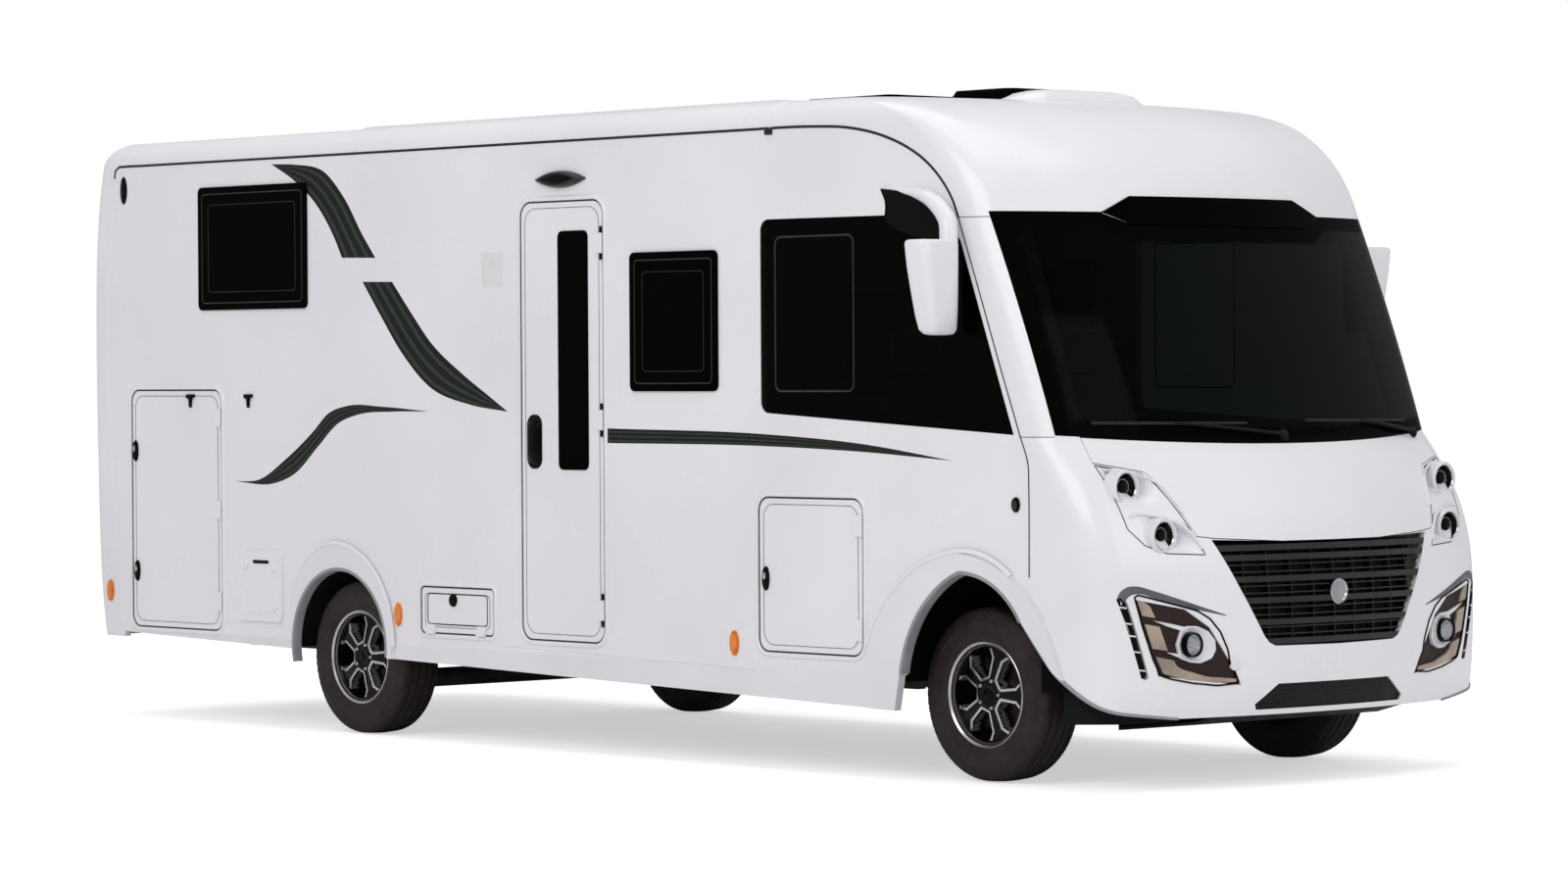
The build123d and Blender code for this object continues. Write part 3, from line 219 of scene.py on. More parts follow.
# name, pale colour, dark colour, roughness from and to, metallic,
# broad pattern mm, grain mm, grain depth mm, other
# inputs; each row says what the eye gets from the finish
FINISHES = (
    # sprayed gelcoat: faint cloudy shade and orange peel in the reflections
    (GELCOAT, "body", "e9e8ea", 0.2, 0.3, 0, 900, 9, 0.03, {"Coat Weight": 0.3, "Coat Roughness": 0.14}),
    # powder coat on aluminium: a little duller and finer grained than gelcoat
    (SKIRT_PAINT, "ececee", "e2e2e5", 0.28, 0.36, 0, 500, 4, 0.03, {"Coat Weight": 0.25}),
    # grained ABS: matt black with fine leather grain
    (GRAINED, "161415", "0e0d0d", 0.5, 0.68, 0, 120, 2.4, 0.25, {"Specular IOR Level": 0.15}),
    # satin ABS of the grille: dark brown-black with soft sheen on the edges
    (GRILLE_ABS, "241d1c", "151010", 0.3, 0.42, 0, 160, 3, 0.05, {"Specular IOR Level": 0.4}),
    # piano black: nearly mirror-like with faint polishing haze
    (GLOSS, "070708", "040405", 0.08, 0.15, 0, 200, 1.5, 0.004, {"Specular IOR Level": 0.08}),
    # extruded rubber: dull black with slight bloom
    (RUBBER, "171717", "0c0c0c", 0.6, 0.8, 0, 60, 1.6, 0.08, {}),
    # near-black sheet behind the grille: painted shade for the dark depth of the opening
    (GRILLE_SHADE_SHEET, "0d0c0c", "050505", 0.7, 0.85, 0, 30, 5, 0.8, {}),
    # chrome on plastic: bright with faint streaks
    (CHROME, "c9cacc", "a9abad", 0.08, 0.18, 1, 90, 3, 0.01, {}),
    # champagne satin paint of the lamp surrounds
    (CHAMPAGNE, "trim", "b7a78f", 0.28, 0.4, 0.1, 120, 1.2, 0.01, {}),
    # glass-clear polycarbonate over lamps
    (CLEAR, "f4f6f8", "e6eaee", 0.03, 0.08, 0, 60, 6, 0.01, {"Transmission Weight": 0.9, "IOR": 1.58}),
    # ribbed amber lens
    (AMBER, "f28a1c", "d96a0c", 0.12, 0.25, 0, 30, 3, 0.15, {"Coat Weight": 0.5}),
    # ribbed red lens
    (RED, "b3161a", "8c0f12", 0.12, 0.25, 0, 30, 3, 0.15, {"Coat Weight": 0.5}),
    # waxed chassis steel: near black with dust and faint wax streaks
    (WAXED, "2a2928", "151515", 0.45, 0.75, 0.3, 180, 7, 0.2, {}),
    # rough cast iron and aluminium of the engine
    (IRON, "4a4846", "2c2a29", 0.55, 0.8, 0.6, 90, 3, 0.4, {}),
    # rotation-moulded tank: dull grey-black with flow marks
    (TANK, "303133", "222325", 0.5, 0.62, 0, 300, 6, 0.1, {}),
    # laminate floor and bed boards with soft streaks
    (BOARD, "a08866", "7d6747", 0.4, 0.55, 0, 60, 8, 0.05, {}),
    # cast polyurethane steering wheel and dash skin
    (DASH, "3a3a3d", "2b2b2e", 0.55, 0.7, 0, 200, 2, 0.2, {}),
    # turned steel of brake discs and nuts: bright with turning haze
    (STEEL, "b9bbbd", "8d8f92", 0.25, 0.38, 1, 40, 1.2, 0.02, {}),
    # anodised frames in the windows: dark grey satin, seen as fine lines
    (ANODISED, "333538", "25272a", 0.3, 0.42, 0.5, 120, 1.5, 0.01, {}),
    # white plastic of the lamp surrounds: nearly white with soft sheen
    (SATIN_WHITE, "e9e9ec", "dedee2", 0.2, 0.3, 0, 200, 3, 0.02, {"Coat Weight": 0.4}),
    # satin grey lines: painted shade in the groove round the fog lamp recess and at the inset edge of the door
    # panels
    (GREY_SHADE_LINE, "5f6065", "4b4c51", 0.3, 0.42, 0, 120, 2, 0.02, {}),
    # soft grey of the arch and bumper lips: painted shade where the gelcoat edge turns under
    (LIP_SHADE_GREY, "9b9b9f", "86868a", 0.4, 0.55, 0, 200, 3, 0.05, {}),
    # blank label: matt off-white film
    (LABEL, "e4e3e4", "dddcdd", 0.4, 0.5, 0, 60, 2, 0.01, {}),
    # pleated blind cloth: warm beige, folded
    (BLIND, "a39a8b", "8a8172", 0.8, 0.95, 0, 80, 1.5, 0.2, {}),
)
# dark panes mirror little of a pale studio
PANE_INPUTS = {"IOR": 1.1, "Specular IOR Level": 0.15}


def make_finishes(colours):
    """All row materials: two close colours, uneven gloss and a fine relief."""
    for name, pale, dark, rough0, rough1, metal, broad, grain, depth, other in FINISHES:
        tree, bsdf, place = start_material(name)
        shade = rescale(tree, noise(tree, place, broad), 0, 1)
        gloss = rescale(tree, noise(tree, place, broad / 3), rough0, rough1)
        give(tree, bsdf,
             {"Base Color": blend(tree, shade, getattr(colours, pale, pale), dark), "Roughness": gloss,
                          "Metallic": metal, **other})
        add_bump(tree, bsdf, noise(tree, place, grain, 2), depth)


def make_glass(name, pale, dark, clear):
    """Tinted pane: smooth, with faint waviness, and dark enough to dim what is inside."""
    tree, bsdf, place = start_material(name)
    cloud = noise(tree, place, 400)
    give(tree, bsdf,
         {"Base Color": blend(tree, cloud, pale, dark), "Roughness": rescale(tree, cloud, 0.01, 0.05),
                      "Transmission Weight": clear, **PANE_INPUTS})
    add_bump(tree, bsdf, noise(tree, place, 300, 1), 0.05)


def make_screen():
    """Laminated windscreen: near-black tint with a printed border that breaks into dots at its edge."""
    tree, bsdf, place = start_material(SCREEN)
    grid = add_node(tree, "ShaderNodeTexVoronoi", {"Scale": 110.0, "Randomness": 0.0, "Vector": place})
    dot_size = spread(tree, attribute(tree, "edge"), 0.045, 0.075, 0.9, 0.0)
    border = maths(tree, "LESS_THAN", grid.outputs["Distance"], dot_size)
    cloud = noise(tree, place, 500)
    glass = blend(tree, cloud, "51595c", "454d50")
    give(tree, bsdf,
         {"Base Color": blend(tree, border, glass, "060606"), "Roughness": rescale(tree, cloud, 0.01, 0.04),
                      "Transmission Weight": maths(tree, "SUBTRACT", 1.0, border), **PANE_INPUTS})
    add_bump(tree, bsdf, noise(tree, place, 400, 1), 0.03)


def make_stripe(colours):
    """Cut vinyl: dark film with thin grey-green lines along its length."""
    tree, bsdf, place = start_material(VINYL)
    uv = add_node(tree, "ShaderNodeTexCoord").outputs["UV"]
    across = add_node(tree, "ShaderNodeSeparateXYZ", {0: uv}).outputs["Y"]
    line = spread(tree, maths(tree, "PINGPONG", across, 0.155), 0.092, 0.106, 0, 1)
    base = blend(tree, line, colours.stripe_dark, colours.stripe_light)
    shade = noise(tree, place, 400)
    darker = blend(tree, maths(tree, "MULTIPLY", shade, 0.25), base, (0.0, 0.0, 0.0))
    give(tree, bsdf,
         {"Base Color": darker, "Roughness": rescale(tree, shade, 0.32, 0.46), "Specular IOR Level": 0.2})
    add_bump(tree, bsdf, noise(tree, place, 6, 2), 0.01)


def make_alloy():
    """Cast wheel by the mesh attribute 'band': black paint where it is 0, bright turned metal where it is 1."""
    tree, bsdf, place = start_material(ALLOY)
    band = attribute(tree, "band")
    cloud = noise(tree, place, 70)
    paint, metal = blend(tree, cloud, "0a0a0b", "050506"), blend(tree, cloud, "d6d2cd", "b5b1ac")
    give(tree, bsdf,
         {"Base Color": blend(tree, band, paint, metal), "Roughness": spread(tree, band, 0, 1, 0.14, 0.26),
                      "Metallic": band, "Specular IOR Level": rescale(tree, band, 0.12, 0.5)})
    add_bump(tree, bsdf, noise(tree, place, 2, 2), 0.01)


def make_rubber():
    """Tyre rubber: brown-black with dust on the sidewall and a fine moulding grain."""
    tree, bsdf, place = start_material(TYRE)
    cloud = noise(tree, place, 140, 4)
    dust = rescale(tree, noise(tree, place, 35, 4), 0, 0.5)
    give(tree, bsdf, {"Base Color": blend(tree, dust, blend(tree, cloud, "2a2321", "171413"), "3d3430"),
                      "Roughness": rescale(tree, cloud, 0.6, 0.82), "Specular IOR Level": 0.3})
    add_bump(tree, bsdf, noise(tree, place, 2, 2), 0.08)


def make_cloth():
    """Woven seat cloth: crossing threads about 1.5 mm apart, in a mottled grey."""
    tree, bsdf, place = start_material(CLOTH)
    cloud = noise(tree, place, 60, 4)
    give(tree, bsdf, {"Base Color": blend(tree, rescale(tree, cloud, 0, 1), "6b6762", "4d4a46"),
                      "Roughness": rescale(tree, cloud, 0.8, 0.95), "Sheen Weight": 0.3})
    warp, weft = (add_node(tree, "ShaderNodeTexWave", {"Scale": 100, "Vector": place},
                           bands_direction=axis).outputs["Fac"]
                  for axis in "YZ")
    add_bump(tree, bsdf, maths(tree, "MAXIMUM", warp, weft), 0.3)


def make_honeycomb(name, high, low, cell_mm):
    """Moulded mesh from two staggered point lattices, dark in the cells and paler on their walls."""
    tree, bsdf, place = start_material(name)
    split = add_node(tree, "ShaderNodeSeparateXYZ", {0: place}).outputs
    flat = add_node(tree, "ShaderNodeCombineXYZ", {0: split["Y"], 1: split["Z"]}).outputs[0]
    size, tall = cell_mm / 1000, 3 ** 0.5
    scaled = vector_maths(tree, "MULTIPLY", flat, (1 / size, 1 / (size * tall), 0))[0]
    reach = []
    for shift in (0.0, 0.5):
        cell = vector_maths(tree, "FRACTION", vector_maths(tree, "ADD", scaled, (shift, shift, 0))[0])[0]
        centred = vector_maths(tree, "MULTIPLY_ADD", cell, (1, tall, 0), (-0.5, -0.5 * tall, 0))[0]
        reach.append(vector_maths(tree, "LENGTH", centred)["Value"])
    # the low colour fills the cells: painted shade in the holes of the mesh
    wall = spread(tree, maths(tree, "MINIMUM", *reach), 0.36, 0.46, 0, 1)
    give(tree, bsdf, {"Base Color": blend(tree, wall, low, high), "Specular IOR Level": 0.2,
                      "Roughness": rescale(tree, noise(tree, place, 80), 0.4, 0.6)})
    add_bump(tree, bsdf, wall, 2.5)


def make_materials():
    """Fill the table of materials."""
    colours = bpy.context.scene.motorhome_colours
    make_finishes(colours)
    make_glass(SMOKED, "050506", "030303", 0.3)
    make_glass(CAB_GLASS, "54595b", "484d4f", 1.0)
    # the darker colour of each honeycomb is painted shade in its cells
    make_honeycomb(BROWN_MESH, "4a3832", "231a18", 9)
    make_honeycomb(BLACK_MESH, "1c1c1e", "050505", 20)
    make_screen()
    make_stripe(colours)
    make_alloy()
    make_rubber()
    make_cloth()


# ---- mesh helpers -------------------------------------------------------------
# body that each solid rides on, from the record
NODE_BODY = {node: body for body, nodes in frame["record"]["behaviour"]["bodies"].items() for node in nodes}
# corners nearer than this are one
MERGE = 1e-5
BEVEL_ANGLE = math.radians(40)


def merge_corners(mesh, mend):
    """Merge the corners of a mesh that lie together, then mend it once more."""
    merged = bmesh.new()
    merged.from_mesh(mesh)
    bmesh.ops.remove_doubles(merged, verts=merged.verts, dist=MERGE)
    mend(merged)
    merged.to_mesh(mesh)
    merged.free()


def add_piece(name, shape, finish, body="coach", slot=None, sharp=35, replaces=(), attributes=None, uv=None):
    """One visible piece from its points and faces: merged, faces outwards, smooth but for sharp edges."""
    points, faces = shape
    mesh = bpy.data.meshes.new(name)
    mesh.from_pydata(np.reshape(points, (-1, 3)).tolist(), [], faces)
    for key, values in (attributes or {}).items():
        layer = mesh.attributes.new(key, "FLOAT", "POINT")
        layer.data.foreach_set("value", np.asarray(values, np.float32).ravel())
    if uv is not None:
        layer = mesh.uv_layers.new(name="UVMap")
        corners = np.zeros(len(mesh.loops), np.int32)
        mesh.loops.foreach_get("vertex_index", corners)
        layer.data.foreach_set("uv", np.asarray(uv, np.float32)[corners].ravel())
    merge_corners(mesh, lambda merged: bmesh.ops.recalc_face_normals(merged, faces=merged.faces))
    return show_mesh(name, mesh, finish, body, sharp, 0,
                     replaces)


def dress_node(node, finish, bevel):
    """Visible copy of a solid: merged corners, smooth shading and softened edges."""
    mesh = frame["nodes"][node].data.copy()
    mesh.name = node + "_skin"
    for stored in [layer for layer in mesh.attributes if layer.name == "custom_normal"]:
        mesh.attributes.remove(stored)
    merge_corners(mesh, lambda merged: bmesh.ops.dissolve_degenerate(merged, edges=merged.edges, dist=MERGE))
    show_mesh(node + "_skin", mesh, finish, NODE_BODY[node], 30, bevel, (node,))


def show_mesh(name, mesh, finish, body, sharp, bevel, replaces):
    """Put a finished mesh in the scene on its body."""
    mesh.shade_smooth()
    mesh.set_sharp_from_angle(angle=math.radians(sharp))
    mesh.materials.clear()
    mesh.materials.append(MATERIALS[finish])
    obj = bpy.data.objects.new(name, mesh)
    bpy.context.scene.collection.objects.link(obj)
    if bevel:
        edge = obj.modifiers.new("edge", "BEVEL")
        edge.width = bevel
        edge.segments = 2
        edge.limit_method = "ANGLE"
        edge.angle_limit = BEVEL_ANGLE
        edge.harden_normals = True
    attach(obj, body)
    if replaces:
        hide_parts(*replaces)
    return obj


# ---- faces --------------------------------------------------------------------
def grid_faces(rows, columns, wrap_rows=False, wrap_columns=False, start=0):
    """Quads of a grid of points numbered row by row."""
    i = np.arange(rows if wrap_rows else rows - 1)[:, None]
    j = np.arange(columns if wrap_columns else columns - 1)[None, :]
    below, right = (i + 1) % rows * columns, (j + 1) % columns
    quads = np.stack([i * columns + j, i * columns + right, below + right, below + j], -1)
    return (quads.reshape(-1, 4) + start).tolist()


def ring_faces(rows, columns):
    """Faces of a stack of rings, with one face to close each end."""
    last = (rows - 1) * columns
    return grid_faces(rows, columns, False, True) + [list(range(columns)), list(range(last, last + columns))]


def closed_sheet(top, bottom):
    """Two grids of points joined round their rim."""
    rows, columns = top.shape[:2]
    size = rows * columns
    faces = grid_faces(rows, columns) + [face[::-1] for face in grid_faces(rows, columns, start=size)]
    index = np.arange(size).reshape(rows, columns)
    rim = np.concatenate([index[:, 0], index[-1, 1:], index[-2::-1, -1], index[0, -2:0:-1]])
    after = np.roll(rim, -1)
    faces += np.stack([rim, after, after + size, rim + size], -1).tolist()
    return np.concatenate([top.reshape(-1, 3), bottom.reshape(-1, 3)]), faces


def join(shapes):
    """One shape of many."""
    points, faces, count = [], [], 0
    for some_points, some_faces in shapes:
        faces += [[index + count for index in face] for face in some_faces]
        points.append(some_points)
        count += len(some_points)
    return np.concatenate(points), faces


# ---- lines --------------------------------------------------------------------
def along_line(line):
    """A line as an array, and the length along it at each point."""
    line = np.asarray(line, float)
    return line, np.concatenate([[0], np.cumsum(np.linalg.norm(np.diff(line, axis=0), axis=1))])


def resample(line, count):
    """Points of a polyline at even spacing along its length."""
    line, along = along_line(line)
    want = np.linspace(0, along[-1], count)
    return np.stack([np.interp(want, along, column) for column in line.T], -1)


def closed_line(corners, count):
    """Points at even spacing round a closed polyline."""
    return resample((*corners, corners[0]), count + 1)[:-1]


def cubic_pieces(want, knots, values, slopes):
    """Smooth curve through values at knots, by cubic pieces with matching slopes."""
    k = np.clip(np.searchsorted(knots, want) - 1, 0, len(knots) - 2)
    step = knots[k + 1] - knots[k]
    t = (want - knots[k]) / step
    if values.ndim > 1:
        step, t = step[:, None], t[:, None]
    return ((2 * t ** 3 - 3 * t ** 2 + 1) * values[k] + (t ** 3 - 2 * t ** 2 + t) * step * slopes[k]
            + (3 * t ** 2 - 2 * t ** 3) * values[k + 1] + (t ** 3 - t ** 2) * step * slopes[k + 1])


def smooth_line(line, count):
    """Points of a smooth curve through the given points."""
    line, along = along_line(line)
    return cubic_pieces(np.linspace(0, along[-1], count), along, line, np.gradient(line, along, axis=0))


def arc_points(start, middle, end, steps=40):
    """Points after the start on the circle through three points."""
    (ax, ay), (bx, by), (cx, cy) = start, middle, end
    a, b, c = ax * ax + ay * ay, bx * bx + by * by, cx * cx + cy * cy
    d = 2 * (ax * (by - cy) + bx * (cy - ay) + cx * (ay - by))
    ux = (a * (by - cy) + b * (cy - ay) + c * (ay - by)) / d
    uy = (a * (cx - bx) + b * (ax - cx) + c * (bx - ax)) / d
    first = math.atan2(ay - uy, ax - ux)
    whole = 2 * math.pi
    sweep = (math.atan2(cy - uy, cx - ux) - first) % whole
    if (math.atan2(by - uy, bx - ux) - first) % whole > sweep:
        sweep -= whole
    turn = np.linspace(first, first + sweep, steps)[1:]
    return list(zip(ux + math.hypot(ax - ux, ay - uy) * np.cos(turn),
                    uy + math.hypot(ax - ux, ay - uy) * np.sin(turn)))


def arc_line(start, *arcs):
    """Line from the start through arcs, each given by its middle and end point."""
    line = [start]
    for middle, end in arcs:
        line += arc_points(line[-1], middle, end)
    return np.array(line)


def circle(a, b, radius, steps=32):
    """Closed circle outline."""
    turn = np.linspace(0, 2 * np.pi, steps, endpoint=False)
    return np.stack([a + radius * np.cos(turn), b + radius * np.sin(turn)], -1)


def oval(x, z, half_x, half_z):
    """Closed ellipse."""
    return np.array((x, z)) + circle(0, 0, 1, 36) * (half_x, half_z)


def almond(x0, x1, z, half):
    """Closed outline of two arcs that meet at pointed tips."""
    t = np.linspace(0, 1, 40)[:-1]
    there = np.stack([x0 + (x1 - x0) * t, z - 4 * half * t * (1 - t)], -1)
    back = np.stack([x1 - (x1 - x0) * t, z + 4 * half * t * (1 - t)], -1)
    return np.concatenate([there, back])


def rounded_box(x0, x1, z0, z1, radius, inset=0.0):
    """Closed outline of a rounded rectangle, anticlockwise, drawn in by the inset."""
    x0, x1, z0, z1 = x0 + inset, x1 - inset, z0 + inset, z1 - inset
    corners = ((x1 - radius, z0 + radius, -90), (x1 - radius, z1 - radius, 0),
               (x0 + radius, z1 - radius, 90), (x0 + radius, z0 + radius, 180))
    turn = np.linspace(0, 90, 11)
    return np.concatenate([np.stack([cx + radius * np.cos(np.radians(start + turn)),
                                     cz + radius * np.sin(np.radians(start + turn))], -1) for cx, cz,
                                     start in corners])


def squared(value, power):
    """Size raised to a power, sign kept: makes the cosine and sine of a circle trace a rounded square."""
    return np.sign(value) * np.abs(value) ** power


# ---- skins --------------------------------------------------------------------
# height and the forward reach of the front on the centre line
NOSE = np.array((
    (0.30, 3.690), (0.33, 3.699), (0.36, 3.7058), (0.40, 3.7124), (0.44, 3.7167), (0.50, 3.7211),
    (0.55, 3.7233),
    (0.60, 3.7248), (0.65, 3.7258), (0.70, 3.7263), (0.80, 3.7247), (0.90, 3.7173), (0.95, 3.7103),
    (1.00, 3.7003),
    (1.05, 3.6869), (1.10, 3.6697), (1.15, 3.6481), (1.20, 3.6221), (1.25, 3.5912), (1.30, 3.5560),
    (1.35, 3.5165),
    (1.40, 3.4746), (1.435, 3.4448), (1.45, 3.4397), (1.50, 3.4225), (1.60, 3.3873), (1.70, 3.3509),
    (1.80, 3.3134),
    (1.90, 3.2748), (2.00, 3.2351), (2.10, 3.1942), (2.20, 3.1521), (2.30, 3.1089), (2.366, 3.0800),
    (2.40, 3.0670),
    (2.45, 3.0448), (2.50, 3.0178), (2.55, 2.9849), (2.60, 2.9447), (2.65, 2.8955), (2.70, 2.8348),
    (2.755, 2.7499),
    (2.80, 2.6492), (2.84, 2.5095), (2.864, 2.3591), (2.875, 2.190)))
NOSE_Z, NOSE_X = NOSE.T
NOSE_SLOPE = np.gradient(NOSE_X, NOSE_Z)
# where the front's normal is measured, to each side
SLOPE_STEP = 0.002


def half_width(z):
    """Half width of the body: full up to the eaves, then the quarter circle of the roof edge."""
    rise = np.clip(np.asarray(z, float) - EAVES_Z, 0, ROOF_EDGE_R)
    return HALF_WIDTH - ROOF_EDGE_R + np.sqrt(ROOF_EDGE_R ** 2 - rise ** 2)


def front_x(y, z):
    """X of the front skin: the wide plan arc, then the small corner arc that turns into the side."""
    y = np.abs(np.asarray(y, float))
    centre = half_width(z) - CORNER_R
    reach = np.sqrt((FRONT_ARC_R - CORNER_R) ** 2 - centre ** 2)
    tangent = centre + CORNER_R * centre / (FRONT_ARC_R - CORNER_R)
    wide = FRONT_ARC_R - np.sqrt(FRONT_ARC_R ** 2 - np.minimum(y, tangent) ** 2)
    corner = FRONT_ARC_R - reach - np.sqrt(np.maximum(CORNER_R ** 2 - (y - centre) ** 2, 0))
    nose = cubic_pieces(np.clip(np.asarray(z, float), NOSE_Z[0], NOSE_Z[-1]), NOSE_Z, NOSE_X, NOSE_SLOPE)
    return nose - np.where(y <= tangent, wide, corner)


def side_y(x, z):
    """Half width of the front skin at (x, z), by halving the interval."""
    low, high = np.zeros_like(x), np.full_like(x, 1.1745)
    for _ in range(24):
        middle = (low + high) / 2
        outside = front_x(middle, z) < x
        low, high = np.where(outside, low, middle), np.where(outside, middle, high)
    return low


def on_front(a, b, h):
    """Place (y, z, height) on the front skin, the height along its normal."""
    a, b, h = np.broadcast_arrays(np.asarray(a, float), np.asarray(b, float), np.asarray(h, float))
    slope_y = (front_x(a + SLOPE_STEP, b) - front_x(a - SLOPE_STEP, b)) / (2 * SLOPE_STEP)
    slope_z = (front_x(a, b + SLOPE_STEP) - front_x(a, b - SLOPE_STEP)) / (2 * SLOPE_STEP)
    size = np.sqrt(1 + slope_y ** 2 + slope_z ** 2)
    return np.stack([front_x(a, b) + h / size, a - slope_y * h / size, b - slope_z * h / size], -1)


def on_nose(side):
    """Placer on the front skin for points given on the left half."""
    return lambda a, b, h: on_front(side * np.asarray(a, float), b, h)


def on_wall(side):
    """Placer of (x, z, height) on a side wall."""
    return lambda a, b, h: np.stack(np.broadcast_arrays(a, side * (HALF_WIDTH + h), b), -1)


def on_level(z, side=1):
    """Placer of (x, y, height) over a level."""
    return lambda a, b, h: np.stack([a, side * b, z + h], -1)


# ---- shapes -------------------------------------------------------------------
def moulding(path, profile, place, closed=False):
    """Bar along a 2-D path: profile point (s, h) goes s along the path's normal and h above the skin."""
    path, profile = np.asarray(path, float), np.asarray(profile, float)
    flat = path[:, None, :] + line_normals(path, closed)[:, None, :] * profile[None, :, :1]
    rows, columns = flat.shape[:2]
    points = place(flat[..., 0], flat[..., 1], np.broadcast_to(profile[None, :, 1], (rows, columns)))
    return points.reshape(-1, 3), grid_faces(rows, columns, True, True) if closed else ring_faces(rows,
                                                                                                  columns)


def line_normals(line, closed):
    """Unit normals to the left of a 2-D path."""
    along = np.roll(line, -1, 0) - np.roll(line, 1, 0) if closed else np.gradient(line, axis=0)
    along /= np.maximum(np.linalg.norm(along, axis=1, keepdims=True), 1e-9)
    return np.stack([-along[:, 1], along[:, 0]], -1)


def strip(half, height, lift=0.0):
    """Flat bar section with its upper edges cut off, for a moulding."""
    shares = np.array(((-1, -1), (-1, 0.2), (-0.6, 1), (0.6, 1), (1, 0.2), (1, -1)))
    return shares * (half, height) + (0, lift)


def plate(lower, upper, place, bottom, top, along=40, across=6):
    """Plate on a skin: rows from the lower to the upper edge line, from height bottom to top."""
    t = np.linspace(0, 1, across)[None, :, None]
    flat = resample(lower, along)[:, None, :] * (1 - t) + resample(upper, along)[:, None, :] * t
    return closed_sheet(*(place(flat[..., 0], flat[..., 1], np.full(flat.shape[:2], h)) for h in (top,
                                                                                                  bottom)))


def pad(outline, rings, place):
    """Closed cap over an outline: each ring (scale, height) shrinks the outline to its middle."""
    outline = np.asarray(outline, float)
    middle = (outline.max(0) + outline.min(0)) / 2
    scales, heights = np.array(rings).T
    flat = middle + (outline - middle)[None, :, :] * scales[:, None, None]
    points = place(flat[..., 0], flat[..., 1], np.broadcast_to(heights[:, None], flat.shape[:2]))
    return points.reshape(-1, 3), ring_faces(*flat.shape[:2])


def sheet(outline, place, bottom, top, chamfer=0.002):
    """Flat piece with a small chamfer over any outline, closed by one face above and below."""
    rows = np.array(((0.0, bottom), (0.0, top - chamfer), (chamfer, top)))
    flat = outline[None] + line_normals(outline, True)[None] * rows[:, None, :1]
    points = place(flat[..., 0], flat[..., 1], np.broadcast_to(rows[:, 1:], flat.shape[:2]))
    return points.reshape(-1, 3), ring_faces(3, len(outline))


def tube(path, radii, sides=12):
    """Tube along a 3-D path: rings square to it, turned as little as possible from one to the next."""
    path = np.asarray(path, float)
    along = np.gradient(path, axis=0)
    along /= np.linalg.norm(along, axis=1, keepdims=True)
    first = np.cross(along[0], (0.1, 0.3, 1.0))
    turn = np.linspace(0, 2 * np.pi, sides, endpoint=False)[:, None]
    rings = []
    for point, direction, radius in zip(path, along, np.broadcast_to(radii, len(path))):
        first = first - direction * (first @ direction)
        first /= np.linalg.norm(first)
        rings.append(point + radius * (np.cos(turn) * first + np.sin(turn) * np.cross(direction, first)))
    return np.concatenate(rings), ring_faces(len(path), sides)


def lathe(profile, centre, axis, steps=48):
    """Surface of revolution: profile point (r, s) goes round the axis at radius r and s along it."""
    axis, profile = np.asarray(axis, float), np.asarray(profile, float)
    first = np.cross(axis, (0.0, 0.0, 1.0))
    turn = np.linspace(0, 2 * np.pi, steps, endpoint=False)[:, None, None]
    radial = np.cos(turn) * first + np.sin(turn) * np.cross(axis, first)
    points = np.asarray(centre, float) + radial * profile[None, :, :1] + axis * profile[None, :, 1:]
    return points.reshape(-1, 3), grid_faces(steps, len(profile), True, True)


# ---- shell --------------------------------------------------------------------
# finish, edge rounding in metres, nodes
SHELL_NODES = (
    (GELCOAT, 0,
     ("side_wall_right", "side_wall_left", "front_mask", "front_cap", "bonnet", "rear_wall", "rear_bumper",
                  "roof", "entry_door", "garage_door_right", "garage_door_left", "locker_door_right",
                  "locker_door_left", "service_hatch")),
    (GELCOAT, 0.003, ("service_cover",)),
    (SKIRT_PAINT, 0, ("skirt_right", "skirt_left")),
    (RED, 0, ("tail_lamps",)),
    (SMOKED, 0.006, ("skylights",)),
    (SMOKED, 0.003, ("body_windows_right", "body_windows_left")),
    (CAB_GLASS, 0, ("cab_window_right", "cab_window_left")),
    (SMOKED, 0.002, ("entry_door_window",)),
    (GRILLE_ABS, 0, ("grille",)),
    (BLACK_MESH, 0, ("lower_grille",)),
    (SMOKED, 0.002, ("name_panel",)),
    (GRAINED, 0, ("wheel_houses",)),
    (DASH, 0.006, ("dashboard",)),
    (DASH, 0, ("steering_wheel",)),
    (IRON, 0.004, ("engine_block",)),
    (WAXED, 0, ("chassis_frame", "rear_axle", "front_suspension", "knuckle_right", "knuckle_left")),
    (TANK, 0.004, ("under_tank",)),
    (BOARD, 0, ("floor",)),
    (BOARD, 0.003, ("bed_base",)),
    (WAXED, 0.006, ("seat_bases",)),
)
# lowest edge of the wheel-house liners, level with the skirts
LINER_FLOOR = 0.40
# windscreen: columns across, half width and height of its lower edge, its sag,
# half width and height of its upper edge
SCREEN_COLUMNS = 61
SCREEN_LOW, SCREEN_SAG, SCREEN_HIGH = (1.122, 1.408), 0.04, (1.131, 2.365)


def screen_edge(points):
    """Distance of points from the windscreen's outline, seen from the front, with the name panel's bump."""
    y, z = np.abs(points[:, 1]), points[:, 2]
    low = 1.406 + SCREEN_SAG * (y / 1.124) ** 2
    high = 2.366 - 0.062 * np.clip((0.70 - y) / 0.14, 0, 1)
    return np.minimum(np.minimum(z - low, high - z), (1.128 - y) * 0.9)


